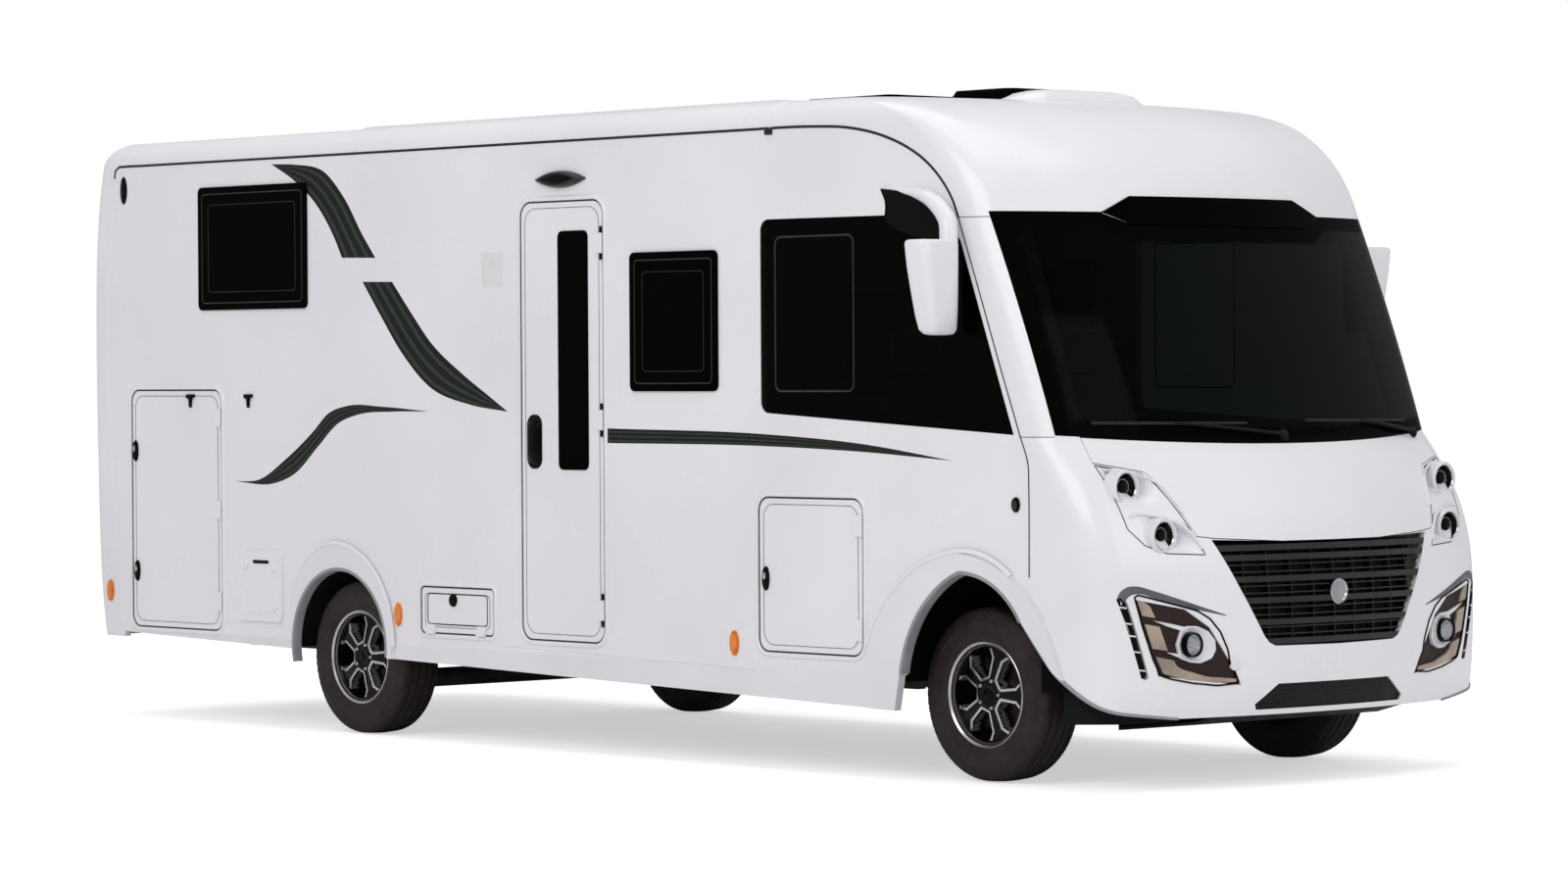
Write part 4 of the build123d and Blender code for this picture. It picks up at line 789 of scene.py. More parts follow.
def build_shell():
    """Dress the solids whose form needs only a finish and soft edges, and glaze the windscreen."""
    for finish, bevel, nodes in SHELL_NODES:
        for node in nodes:
            dress_node(node, finish, bevel)
    for vertex in bpy.data.meshes["wheel_houses_skin"].vertices:
        vertex.co.z = max(vertex.co.z, LINER_FLOOR)
    across = np.linspace(-1, 1, SCREEN_COLUMNS)
    lower = np.stack([SCREEN_LOW[0] * across, SCREEN_LOW[1] + SCREEN_SAG * across ** 2], -1)
    upper = np.stack([SCREEN_HIGH[0] * across, np.full(SCREEN_COLUMNS, SCREEN_HIGH[1])], -1)
    glass = plate(lower, upper, on_front, -0.006, 0.0, 121, 61)
    add_piece("windscreen_glass", glass, SCREEN, replaces=("windscreen",),
              attributes={"edge": screen_edge(glass[0])})


# ---- wheels -------------------------------------------------------------------
# x and y of each tyre's middle
WHEELS = {"front_right": (2.65, -0.89), "front_left": (2.65, 0.89),
          "rear_right": (-1.5, -1.01), "rear_left": (-1.5, 1.01)}
HUB_Z = 0.365
# tyre section: radius and distance from the middle plane, outer half from bead to crown
TYRE_HALF = np.array((
    (0.203, 0.094), (0.212, 0.098), (0.220, 0.1005), (0.226, 0.103), (0.236, 0.1075), (0.246, 0.110),
    (0.2475, 0.1112),
    (0.252, 0.1112), (0.2535, 0.1105), (0.268, 0.1122), (0.285, 0.1125), (0.302, 0.1120), (0.304, 0.1128),
    (0.309, 0.1126), (0.311, 0.1112), (0.325, 0.1088), (0.338, 0.1052), (0.348, 0.1003), (0.3545, 0.0950),
    (0.3585, 0.0885), (0.3605, 0.0800), (0.3612, 0.0735), (0.3618, 0.0660), (0.3620, 0.0650),
    (0.3622, 0.0580),
    (0.3624, 0.0570), (0.3632, 0.0460), (0.3640, 0.0340), (0.3645, 0.0270), (0.3645, 0.0260),
    (0.3647, 0.0190),
    (0.3647, 0.0180), (0.3650, 0.0090), (0.3650, 0.0)))
TYRE_SECTION = np.concatenate([TYRE_HALF, TYRE_HALF[-2::-1] * (1, -1)])
TYRE_STEPS = 396
# grooves that run round the tyre, by their distance from its middle
GROOVES = ((0.0575, 0.0655), (0.0185, 0.0265))
# cuts across the tread: number round the tyre, slant, share that is cut, share of the depth,
# from and to the middle
CUTS = ((66, 18, 0.16, 0.75, 0.066, 1.0), (66, -30, 0.12, 0.6, 0.027, 0.056),
        (33, 40, 0.1, 0.6, -1.0, 0.0175))
# cuts stay clear of the sidewall
TREAD_RADIUS = 0.335
# one spoke window, outwards and across
WINDOW = np.array(((0.074, -0.022), (0.142, -0.062), (0.176, -0.056), (0.199, -0.038),
                   (0.199, 0.038), (0.176, 0.056), (0.142, 0.062), (0.074, 0.022)))
WINDOW_ANGLES = np.radians((180, 108, 36, -36, -108))
WINDOW_DEPTH = 0.052
RIM_STEPS, RIM_RINGS = 480, 66
RIM_INNER, RIM_OUTER = 0.018, 0.2035
RIM_BACK = 0.018
BOLT_CIRCLE = 0.0585
BOLT_ANGLES = WINDOW_ANGLES + np.pi / 5
BARREL = np.array((
    (0.2035, 0.094), (0.2035, -0.094), (0.222, -0.096), (0.222, -0.103), (0.196, -0.104), (0.186, -0.06),
    (0.190, 0.03), (0.200, 0.082), (0.2035, 0.0925), (0.2195, 0.1035), (0.2225, 0.1015), (0.222, 0.096)))
HUB_CAP = ((0.0, 0.088), (0.022, 0.087), (0.029, 0.083), (0.031, 0.078), (0.031, 0.03), (0.0, 0.03))
DISC = ((0.074, -0.03), (0.145, -0.03), (0.148, -0.026), (0.148, -0.010), (0.145, -0.006), (0.098, -0.006),
        (0.094, 0.028), (0.074, 0.03))
NUT = ((0.0, 0.089), (0.007, 0.088), (0.0105, 0.084), (0.0115, 0.072), (0.0115, 0.05), (0.0, 0.05))


def tyre_points(tread):
    """Radii of a tyre as a grid: the section swept round, less the tread grooves and cuts at each angle."""
    turn = np.linspace(0, 2 * np.pi, TYRE_STEPS, endpoint=False)[:, None]
    section_radius, offset = TYRE_SECTION.T
    radius = np.broadcast_to(section_radius, (TYRE_STEPS, len(offset))).copy()
    across = np.abs(offset)[None, :]
    for low, high in GROOVES:
        radius -= tread * ((across > low) & (across < high))
    for count, slant, share, depth, low, high in CUTS:
        phase = (turn * count / (2 * np.pi) + slant * offset[None, :]) % 1
        cut = (phase < share) * (across > low) * (across < high) * (section_radius > TREAD_RADIUS)
        radius -= depth * tread * cut
    return turn, radius, offset[None, :]


def polygon_distance(u, v, corners):
    """Signed distance to a convex polygon, positive outside: the greatest of the distances past its edges."""
    best = np.full(np.shape(u), -np.inf)
    for (u0, v0), (u1, v1) in zip(corners, np.roll(corners, -1, 0)):
        size = math.hypot(u1 - u0, v1 - v0)
        best = np.maximum(best, ((v1 - v0) * (u - u0) - (u1 - u0) * (v - v0)) / size)
    return best


def rim_face(machined):
    """Grid of the wheel's face and back: height over radius and angle, less five windows, and turned band."""
    radius = np.linspace(RIM_INNER, RIM_OUTER, RIM_RINGS)[None, :]
    turn = np.linspace(0, 2 * np.pi, RIM_STEPS, endpoint=False)[:, None]
    dome = 0.082 - 0.010 * np.clip((radius - 0.05) / 0.15, 0,
                                   1) ** 2 + 0.006 * np.exp(-((radius - 0.045) / 0.02) ** 2)
    height = np.broadcast_to(dome, (RIM_STEPS, RIM_RINGS)).copy()
    band = np.zeros((RIM_STEPS, RIM_RINGS))
    for angle in WINDOW_ANGLES:
        u, v = radius * np.cos(turn - angle), radius * np.sin(turn - angle)
        gap = polygon_distance(u, v, WINDOW)
        near = (u > 0.05) & (np.abs(v) < 0.09)
        edge = near * (gap > -0.0015) * (gap < machined) * (u < 0.181)
        height -= WINDOW_DEPTH * np.clip(-gap / 0.003, 0, 1) * near + 0.003 * edge
        band = np.maximum(band, edge)
    for angle in BOLT_ANGLES:
        u, v = radius * np.cos(turn - angle), radius * np.sin(turn - angle)
        height -= 0.012 * np.clip(1 - np.hypot(u - BOLT_CIRCLE, v) / 0.014, 0, 0.4) / 0.4
    height += 0.010 * np.clip((radius - 0.193) / 0.006, 0, 1)
    radius = np.concatenate([radius, radius[:, -1:], radius[:, :1]], 1)
    height = np.concatenate([height, np.full((RIM_STEPS, 2), RIM_BACK)], 1)
    return turn, radius, height, np.concatenate([band, np.zeros((RIM_STEPS, 2))], 1)


def round_hub(hub, turn, radius, offset):
    """Closed grid of points round a hub."""
    x, y, z = hub
    points = np.broadcast_arrays(x + radius * np.cos(turn), y + offset, z + radius * np.sin(turn))
    return np.stack(points, -1).reshape(-1, 3), grid_faces(*points[0].shape, True, True)


def build_wheels():
    """Tyres with tread, cast wheels with five windows, nuts, caps and brake discs."""
    sizes = bpy.context.scene.motorhome_sizes
    tyre = tyre_points(sizes.tread)
    turn, radius, height, band = rim_face(sizes.machined)
    lip = (BARREL[:, 1] > 0.08) & (BARREL[:, 0] > 0.2)
    for name, (x, y) in WHEELS.items():
        body, hub, axis = "wheel_" + name, (x, y, HUB_Z), (0, math.copysign(1, y), 0)
        add_piece(f"tyre_{name}_rubber", round_hub(hub, *tyre), TYRE, body, sharp=40,
                  replaces=("tyre_" + name,))
        add_piece(f"rim_{name}_face", round_hub(hub, turn, radius, axis[1] * height), ALLOY, body, sharp=30,
                  replaces=("rim_" + name,), attributes={"band": band})
        add_piece(f"rim_{name}_barrel", lathe(BARREL, hub, axis, 144), ALLOY, body, sharp=30,
                  attributes={"band": np.tile(lip, 144)})
        add_piece("cap_" + name, lathe(HUB_CAP, hub, axis), GLOSS, body, "wheel_alloy", 30)
        add_piece("brake_" + name, lathe(DISC, hub, axis, 96), STEEL, body, sharp=30)
        spots = [(x + BOLT_CIRCLE * math.cos(a), y, HUB_Z + BOLT_CIRCLE * math.sin(a)) for a in BOLT_ANGLES]
        add_piece("nuts_" + name, join(lathe(NUT, spot, axis, 6) for spot in spots), STEEL, body, sharp=20)


# ---- stripes, seals and frames ------------------------------------------------
# side stripes: upper and lower edge, (x, z)
STRIPES = (
    (((-2.095, 2.727), (-1.911, 2.719), (-1.675, 2.678), (-1.521, 2.556), (-1.369, 2.367), (-1.271, 2.258)),
     ((-2.095, 2.727), (-1.912, 2.643), (-1.755, 2.54), (-1.601, 2.372), (-1.532, 2.264))),
    (((-1.143, 2.143), (-0.994, 1.992), (-0.846, 1.853), (-0.627, 1.716), (-0.41, 1.603), (-0.281, 1.536)),
     ((-1.372, 2.147), (-1.221, 1.972), (-1.071, 1.809), (-0.849, 1.644), (-0.555, 1.567), (-0.281, 1.536))),
    (((-2.414, 1.191), (-2.211, 1.203), (-2.008, 1.296), (-1.769, 1.439), (-1.65, 1.524), (-1.494, 1.561),
      (-1.226, 1.557), (-0.865, 1.535)),
     ((-2.414, 1.191), (-2.09, 1.186), (-1.93, 1.231), (-1.73, 1.369), (-1.573, 1.477), (-1.417, 1.519),
      (-1.15, 1.534), (-0.865, 1.535))),
    (((0.431, 1.463), (1.484, 1.443), (2.106, 1.405), (2.654, 1.34)),
     ((0.43, 1.398), (1.484, 1.392), (2.106, 1.372), (2.654, 1.34))),
)
STRIPE_GRID = (60, 12)
# seals and raised lines on the side walls: name, width over the seal's width, finish, (x, z) line
SEALS = (
    ("cantrail", 1.5, RUBBER,
     ((-3.432, 2.700), (-3.428, 2.735), (-3.405, 2.754), (-3.36, 2.757), (-3.2, 2.757), (-1.5, 2.755),
      (0.5, 2.755),
      (1.4, 2.755), (1.7, 2.755), (1.81, 2.752), (2.026, 2.739), (2.238, 2.698), (2.40, 2.639),
      (2.476, 2.599),
      (2.593, 2.505), (2.66, 2.42), (2.697, 2.341))),
    ("pillar", 0.6, RUBBER,
     ((2.697, 2.341), (2.822, 2.025), (2.935, 1.735), (3.047, 1.456), (3.099, 1.32), (3.101, 1.25),
      (3.101, 0.87))),
    ("rear", 1.2, GELCOAT, ((-3.424, 2.69), (-3.470, 2.40), (-3.508, 1.726), (-3.463, 1.1), (-3.372, 0.46))),
    ("crease_1", 1.5, GELCOAT, ((-2.50, 0.511), (-2.40, 0.509), (-1.98, 0.501), (-1.96, 0.5005))),
    ("crease_2", 1.5, GELCOAT, ((-0.36, 0.469), (-0.2, 0.466), (1.35, 0.435), (1.42, 0.4335))),
)
# upper edge of each wheel flare: start, then arcs by middle and end point
FLARES = {
    "front": ((2.135, 0.56), ((2.325, 0.820), (2.690, 0.968)), ((2.865, 0.946), (3.000, 0.873))),
    "rear": ((-1.955, 0.43), ((-1.868, 0.780), (-1.600, 0.910)), ((-1.275, 0.770), (-1.142, 0.430))),
}
# wheel openings, listed the same way
ARCHES = {
    "front": ((2.340, 0.45), ((2.475, 0.735), (2.700, 0.885)), ((2.905, 0.835), (3.060, 0.690))),
    "rear": ((-1.925, 0.33), ((-1.560, 0.790), (-1.190, 0.380))),
}
ARCH_LIP = ((0.002, 0.012), (0.002, 0.0155), (-0.012, 0.0155), (-0.016, 0.006), (-0.016, -0.03),
            (-0.006, -0.03))
# side, x and z range and corner radius of each leaf
DOORS = {
    "entry_door": ("right", (-0.179, 0.406, 0.501, 2.485), 0.07),
    "garage_door_right": ("right", (-3.294, -2.526, 0.456, 1.637), 0.06),
    "garage_door_left": ("left", (-3.294, -2.526, 0.456, 1.637), 0.06),
    "locker_door_right": ("right", (1.446, 2.106, 0.509, 1.173), 0.06),
    "locker_door_left": ("left", (1.446, 2.106, 0.509, 1.173), 0.06),
    "service_hatch": ("right", (-0.934, -0.391, 0.505, 0.721), 0.025),
}
DOOR_PANEL_INSET = 0.030
DOOR_FRAME = ((-0.004, -0.002), (-0.004, 0.004), (-0.008, 0.007), (-0.018, 0.007), (-0.024, 0.003),
              (-0.026, -0.002))


def build_stripes():
    """Vinyl stripes on both side walls, with the share along and across each as its UV map."""
    film = bpy.context.scene.motorhome_sizes.film
    u, v = np.meshgrid(*(np.linspace(0, 1, count) for count in STRIPE_GRID), indexing="ij")
    uv = np.tile(np.stack([u, v], -1).reshape(-1, 2), (2, 1))
    for side, sign in SIDES.items():
        for k, (upper, lower) in enumerate(STRIPES):
            shape = plate(smooth_line(lower, 60), smooth_line(upper, 60), on_wall(sign), -0.001, film,
                          *STRIPE_GRID)
            add_piece(f"stripe_{side}_{k}", shape, VINYL, sharp=60, uv=uv)


def build_seals():
    """Rubber seals in the body seams, wheel flares and lips, and thin moulded frames round the doors."""
    seal = bpy.context.scene.motorhome_sizes.seal
    for side, sign in SIDES.items():
        wall = on_wall(sign)
        for name, width, finish, line in SEALS:
            add_piece(f"seal_{name}_{side}",
                      moulding(smooth_line(line, 160), strip(seal * width, 0.003), wall), finish)
        for name, arcs in FLARES.items():
            bead = moulding(arc_line(*arcs), strip(0.010, 0.006, 0.013), wall)
            add_piece(f"flare_bead_{name}_{side}", bead, GELCOAT, sharp=50)
        for name, arcs in ARCHES.items():
            # grey lip round each wheel opening: painted shade of the edge turning under
            add_piece(f"arch_lip_{name}_{side}", moulding(arc_line(*arcs), ARCH_LIP, wall), LIP_SHADE_GREY,
                      sharp=50)
    for node, (side, box, radius) in DOORS.items():
        wall = on_wall(SIDES[side])
        outline = rounded_box(*box, radius)
        add_piece("frame_" + node, moulding(outline, DOOR_FRAME, wall, True), GELCOAT)
        add_piece("door_seal_" + node, moulding(outline, strip(0.0024, 0.0015), wall, True), RUBBER)
        panel = rounded_box(*box, radius, DOOR_PANEL_INSET)
        # grey line at the inset edge of each door panel: painted shade of the step
        add_piece("door_edge_" + node, moulding(panel, strip(0.0016, 0.0012), wall, True), GREY_SHADE_LINE, node)


# ---- headlamps and fog lamps --------------------------------------------------
# y, z and x of the middle of each lamp's face
HEADLAMPS = ((0.975, 1.237, 3.452), (0.875, 1.040, 3.566))
FOG_LAMP = (0.776, 0.600, 3.638)
# lamp module on the left half, (y, z): outer and inner edge, and the raised brow over each lamp
MODULE_OUTER = ((1.048, 1.326), (1.018, 1.070), (0.957, 1.002), (0.868, 0.969), (0.694, 0.961))
MODULE_INNER = ((1.048, 1.326), (0.864, 1.288), (0.827, 1.246), (0.694, 0.961))
MODULE_GRID = (81, 49)
MODULE_WALL = 0.004
BROWS = (
    ((1.022, 1.305), (0.960, 1.302), (0.895, 1.287), (0.825, 1.255), (0.785, 1.190), (0.762, 1.130)),
    ((0.996, 1.118), (0.964, 1.128), (0.900, 1.122), (0.840, 1.107), (0.780, 1.082), (0.735, 1.040),
     (0.708, 0.985)),
)
# turned parts of a lamp: name, finish, (radius, distance forward of the face)
HEADLAMP_PARTS = (
    ("ring", SATIN_WHITE,
     ((0.0575, 0.004), (0.061, 0.010), (0.068, 0.010), (0.073, 0.004), (0.076, -0.05), (0.058, -0.05))),
    ("rim", CHROME, ((0.053, 0.002), (0.0555, 0.006), (0.058, 0.003), (0.058, -0.02), (0.053, -0.02))),
    ("bezel", GLOSS,
     ((0.0, -0.03), (0.034, -0.03), (0.040, -0.014), (0.0535, 0.001), (0.0545, -0.04), (0.0, -0.04))),
    ("reflector", CHROME,
     ((0.028, -0.022), (0.0325, -0.015), (0.0345, -0.015), (0.036, -0.022), (0.036, -0.03), (0.028, -0.03))),
    ("projector", GLOSS,
     ((0.0, -0.004), (0.012, -0.006), (0.021, -0.011), (0.027, -0.019), (0.028, -0.029), (0.0, -0.029))),
)
FOG_LAMP_PARTS = (
    ("ring", GLOSS, ((0.044, 0.0), (0.046, 0.007), (0.050, 0.006), (0.053, -0.02), (0.044, -0.02))),
    ("bowl", CHROME, ((0.0, -0.034), (0.012, -0.020), (0.016, -0.032), (0.030, -0.022), (0.036, -0.010),
                      (0.0435, -0.002), (0.0445, -0.04), (0.0, -0.04))),
    ("lens", CLEAR,
     ((0.0, 0.006), (0.02, 0.004), (0.043, -0.002), (0.043, -0.004), (0.02, 0.001), (0.0, 0.003))),
)
# fog lamp recess on the left half, (y, z)
FOG_RIM = ((1.023, 0.797), (1.008, 0.806), (0.749, 0.737), (0.690, 0.703), (0.640, 0.648), (0.602, 0.572),
           (0.592, 0.520), (0.566, 0.484), (0.542, 0.436), (0.647, 0.430), (0.765, 0.444), (0.860, 0.463),
           (0.910, 0.479), (0.943, 0.543), (0.993, 0.685))
FOG_PANELS = (
    ("panel_1", CHAMPAGNE, ((1.014, 0.786), (0.984, 0.779), (0.958, 0.760), (0.934, 0.712), (0.992, 0.722))),
    ("panel_2", CHAMPAGNE, ((0.982, 0.690), (0.916, 0.676), (0.879, 0.577), (0.947, 0.588))),
    ("panel_3", CHAMPAGNE, ((0.932, 0.556), (0.853, 0.540), (0.837, 0.515), (0.809, 0.500), (0.697, 0.468),
                            (0.556, 0.455), (0.551, 0.441), (0.648, 0.440), (0.789, 0.457), (0.897, 0.485))),
    ("fin_1", SATIN_WHITE, ((0.958, 0.708), (0.880, 0.690), (0.800, 0.672), (0.796, 0.650), (0.880, 0.676))),
    ("fin_2", SATIN_WHITE, ((0.884, 0.572), (0.840, 0.566), (0.796, 0.560), (0.790, 0.541), (0.838, 0.552))),
)
SURROUND = ((0.822, 0.664), (0.795, 0.676), (0.749, 0.674), (0.698, 0.652), (0.666, 0.615), (0.662, 0.574),
            (0.681, 0.542), (0.732, 0.524), (0.778, 0.528), (0.826, 0.546), (0.842, 0.600))
SURROUND_RINGS = ((1, -0.012), (1, 0.003), (0.95, 0.005), (0.9, 0.003), (0.74, -0.006), (0.5, -0.009))
GROOVE_HIGH = ((1.092, 0.790), (1.080, 0.818), (1.054, 0.838), (1.012, 0.841), (0.950, 0.824), (0.883, 0.803),
               (0.768, 0.765), (0.613, 0.716))
GROOVE_LOW = ((1.064, 0.772), (1.058, 0.788), (1.041, 0.804), (1.008, 0.810), (0.940, 0.793), (0.867, 0.772),
              (0.768, 0.745), (0.613, 0.712))
# slatted slit beside the recess, the heights of its slats and the slant of their middles
SLIT = ((1.094, 0.790), (1.080, 0.800), (1.062, 0.778), (0.970, 0.482), (0.978, 0.468), (0.992, 0.468))
SLIT_SLATS = (0.755, 0.690, 0.640, 0.575, 0.500)
SLIT_FOOT, SLIT_SLANT = (0.981, 0.472), 0.320


def module_dish(y, z, t):
    """Depth of the lamp module under the skin: a hollow under each brow that runs out at its edges."""
    dish = np.zeros_like(y)
    for cy, cz, _ in HEADLAMPS:
        brow = np.clip((cz + 0.080 - 0.30 * (cy - y) - z) / 0.012, 0, 1)
        hollow = np.exp(-((y - cy + 0.070) / 0.075) ** 2 - (np.minimum(z - cz - 0.02, 0) / 0.06) ** 2)
        dish += 0.052 * brow * hollow * (z > cz - 0.12)
    s = np.linspace(0, 1, len(y))[:, None]
    edge = np.minimum(np.minimum(t, 1 - t) / 0.1, np.minimum(s, 1 - s) / 0.06)
    return dish * np.clip(edge, 0, 1)


def build_headlamps():
    """Dished white lamp modules and their round projector lamps."""
    rows, columns = MODULE_GRID
    outer, inner = resample(MODULE_OUTER, rows), resample(MODULE_INNER, rows)
    t = np.linspace(0, 1, columns)
    y, z = (outer[:, k, None] * (1 - t) + inner[:, k, None] * t for k in (0, 1))
    dish = module_dish(y, z, t)
    seam = np.concatenate([resample(MODULE_OUTER, 60)[:-1], resample(MODULE_INNER, 60)[::-1][:-1]])
    for side, sign in SIDES.items():
        place = on_nose(sign)
        add_piece("lamp_module_" + side, closed_sheet(place(y, z, -dish), place(y, z, -dish - MODULE_WALL)),
                  GELCOAT,
                  sharp=40, replaces=("headlamp_modules",))
        add_piece("module_seam_" + side, moulding(seam, strip(0.0022, 0.0012), place, True), RUBBER)
        for k, line in enumerate(BROWS):
            brow = moulding(smooth_line(line, 60), strip(0.006, 0.007), place)
            add_piece(f"brow_{side}_{k}", brow, SATIN_WHITE, sharp=50)
        for k, (cy, cz, cx) in enumerate(HEADLAMPS):
            for part, finish, profile in HEADLAMP_PARTS:
                add_piece(f"headlamp_{part}_{side}_{k}", lathe(profile, (cx, sign * cy, cz), (1, 0, 0), 64),
                          finish,
                          slot="lamp_lens", sharp=30, replaces=("headlamps",))


# ---- front --------------------------------------------------------------------
GRILLE_LOW, GRILLE_HIGH = ((-0.40, 0.585), (0.40, 0.585)), ((-0.64, 1.015), (0.64, 1.015))
GRILLE_RIB = ((-0.002, -0.06), (-0.002, -0.022), (0.002, -0.022), (0.002, -0.06))
GRILLE_DISC = ((0.0, -0.001), (0.040, -0.001), (0.043, 0.004), (0.049, 0.005), (0.053, 0.001), (0.053, -0.03),
               (0.0, -0.03))
DISC_SPOT = (3.7265, 0, 0.794)
# y of each wiper's pivot and of its blade's ends
WIPERS = ((-0.038, -0.983, -0.233), (0.944, 0.123, 0.886))
WIPER_BLADE = ((-0.006, 0.004), (-0.004, 0.016), (0.004, 0.016), (0.006, 0.004))


def build_front():
    """Grille backing, upright ribs and blank disc, and the wipers."""
    # near-black sheet behind the grille bars: painted shade of the opening's depth
    add_piece("grille_shade_sheet", plate(GRILLE_LOW, GRILLE_HIGH, on_front, -0.075, -0.07, 60, 20), GRILLE_SHADE_SHEET)
    add_piece("grille_disc", lathe(GRILLE_DISC, DISC_SPOT, (1, 0, 0), 64), CHROME, slot="grille_plastic",
              sharp=30)
    for k, y in enumerate(np.arange(-4, 5) * 0.125):
        add_piece(f"grille_rib_{k}", moulding(((y, 0.59), (y, 0.8), (y, 1.0)), GRILLE_RIB, on_front),
                  GRILLE_ABS)
    t = np.linspace(0, 1, 24)
    for k, (pivot, start, end) in enumerate(WIPERS):
        blade = moulding(resample(((start, 1.492), (end, 1.484)), 40), WIPER_BLADE, on_front)
        add_piece(f"wiper_blade_{k}", blade, RUBBER, replaces=("wipers",))
        reach = (start + end) / 2 - pivot
        path = on_front(pivot + reach * t, 1.436 + 0.052 * t, 0.016 + 0.006 * np.sin(np.pi * t))
        add_piece(f"wiper_arm_{k}", tube(path, 0.008 - 0.003 * t, 10), GRAINED)
        boss = pad(circle(pivot, 1.434, 0.024, 24), ((1, -0.01), (1, 0.012), (0.8, 0.022), (0.4, 0.026)),
                   on_front)
        add_piece(f"wiper_boss_{k}", boss, GRAINED)


def build_fog():
    """Fog lamp recesses: mesh floor, rim line, painted panels, fins, lamp surround, slit and groove."""
    for side, sign in SIDES.items():
        place = on_nose(sign)
        floor = closed_line(FOG_RIM, 90)
        add_piece("fog_floor_" + side, sheet(floor, place, -0.020, -0.006), BROWN_MESH, sharp=40,
                  replaces=("fog_bezels",))
        add_piece("fog_rim_" + side, moulding(floor, strip(0.004, 0.004), place, True), GLOSS)
        for name, finish, outline in FOG_PANELS:
            panel = sheet(closed_line(outline, 72), place, -0.010, 0.001)
            add_piece(f"fog_{name}_{side}", panel, finish, slot="black_plastic", sharp=40)
        surround = pad(closed_line(SURROUND, 80), SURROUND_RINGS, place)
        add_piece("fog_surround_" + side, surround, SATIN_WHITE, slot="black_plastic", sharp=50)
        # grey band over the groove round the fog recess: painted shade of its edge
        groove = plate(smooth_line(GROOVE_LOW, 60), smooth_line(GROOVE_HIGH, 60), place, -0.012, 0.0008, 60,
                       4)
        add_piece("fog_groove_" + side, groove, GREY_SHADE_LINE, sharp=40)
        # black sheet over the slit: painted shade of the slit's dark depth
        add_piece("slit_shade_sheet_" + side, sheet(closed_line(SLIT, 60), place, -0.03, 0.0014), GLOSS, sharp=40)
        for k, z in enumerate(SLIT_SLATS):
            y = SLIT_FOOT[0] + (z - SLIT_FOOT[1]) * SLIT_SLANT
            slat = moulding(((y - 0.014, z), (y, z + 0.002), (y + 0.014, z + 0.004)), strip(0.0035, 0.004),
                            place)
            add_piece(f"slit_slat_{side}_{k}", slat, SATIN_WHITE, sharp=40)
    cap = pad(circle(-0.566, 0.512, 0.024, 40), ((1, -0.006), (1, 0.003), (0.86, 0.006), (0.4, 0.006)),
              on_front)
    add_piece("tow_eye_cap", cap, SATIN_WHITE, sharp=40)


# ---- trim ---------------------------------------------------------------------
# bright line round the lower edge of the name panel and its painted tips, (y, z)
PANEL_LINE = ((-0.655, 2.362), (-0.526, 2.316), (0.0, 2.316), (0.526, 2.316), (0.655, 2.362))
PANEL_TIPS = (((-0.640, 2.368), (-0.560, 2.395), (-0.520, 2.392)),
              ((-0.600, 2.352), (-0.545, 2.372), (-0.470, 2.330)))
# lower edge of the front skin behind the arch, seen from the side, (x, z)
RUN_OUT = ((3.060, 0.690), (3.150, 0.585), (3.240, 0.490), (3.374, 0.405), (3.480, 0.340), (3.580, 0.300))
# joint lines that turn from the wall into the front: name, z, x of the start, y of the end
JOINTS = (("high", 2.343, 2.697, 1.131), ("low", 1.440, 3.047, 1.126))
# pleated side blind: its z range, its inner edge at the foot and at the head, its outer edge, its pleats
BLIND_Z, BLIND_INNER, BLIND_OUTER, BLIND_PLEATS = (1.47, 2.30), (1.005, 0.985), 1.095, 3
# splash panel on the left side, (x, y), and its heights
SPLASH = ((3.10, 0.555), (3.34, 0.555), (3.30, 0.80), (3.18, 0.93), (3.10, 0.98))
SPLASH_RINGS = ((1, 0.262), (1, 0.40), (0.98, 0.404))
CAP_JOINT_X = 1.5335
HATCH_RINGS = ((1, -0.006), (1, 0.030), (0.95, 0.056), (0.5, 0.058))
FAIRING_RINGS = ((1, -0.05), (1, -0.012), (0.84, 0.030), (0.6, 0.046), (0.3, 0.050))


def wall_pad(name, outline, rings, finish, side=-1, body="coach", **other):
    """One low fitting on a side wall."""
    add_piece(name, pad(outline, rings, on_wall(side)), finish, body, **other)


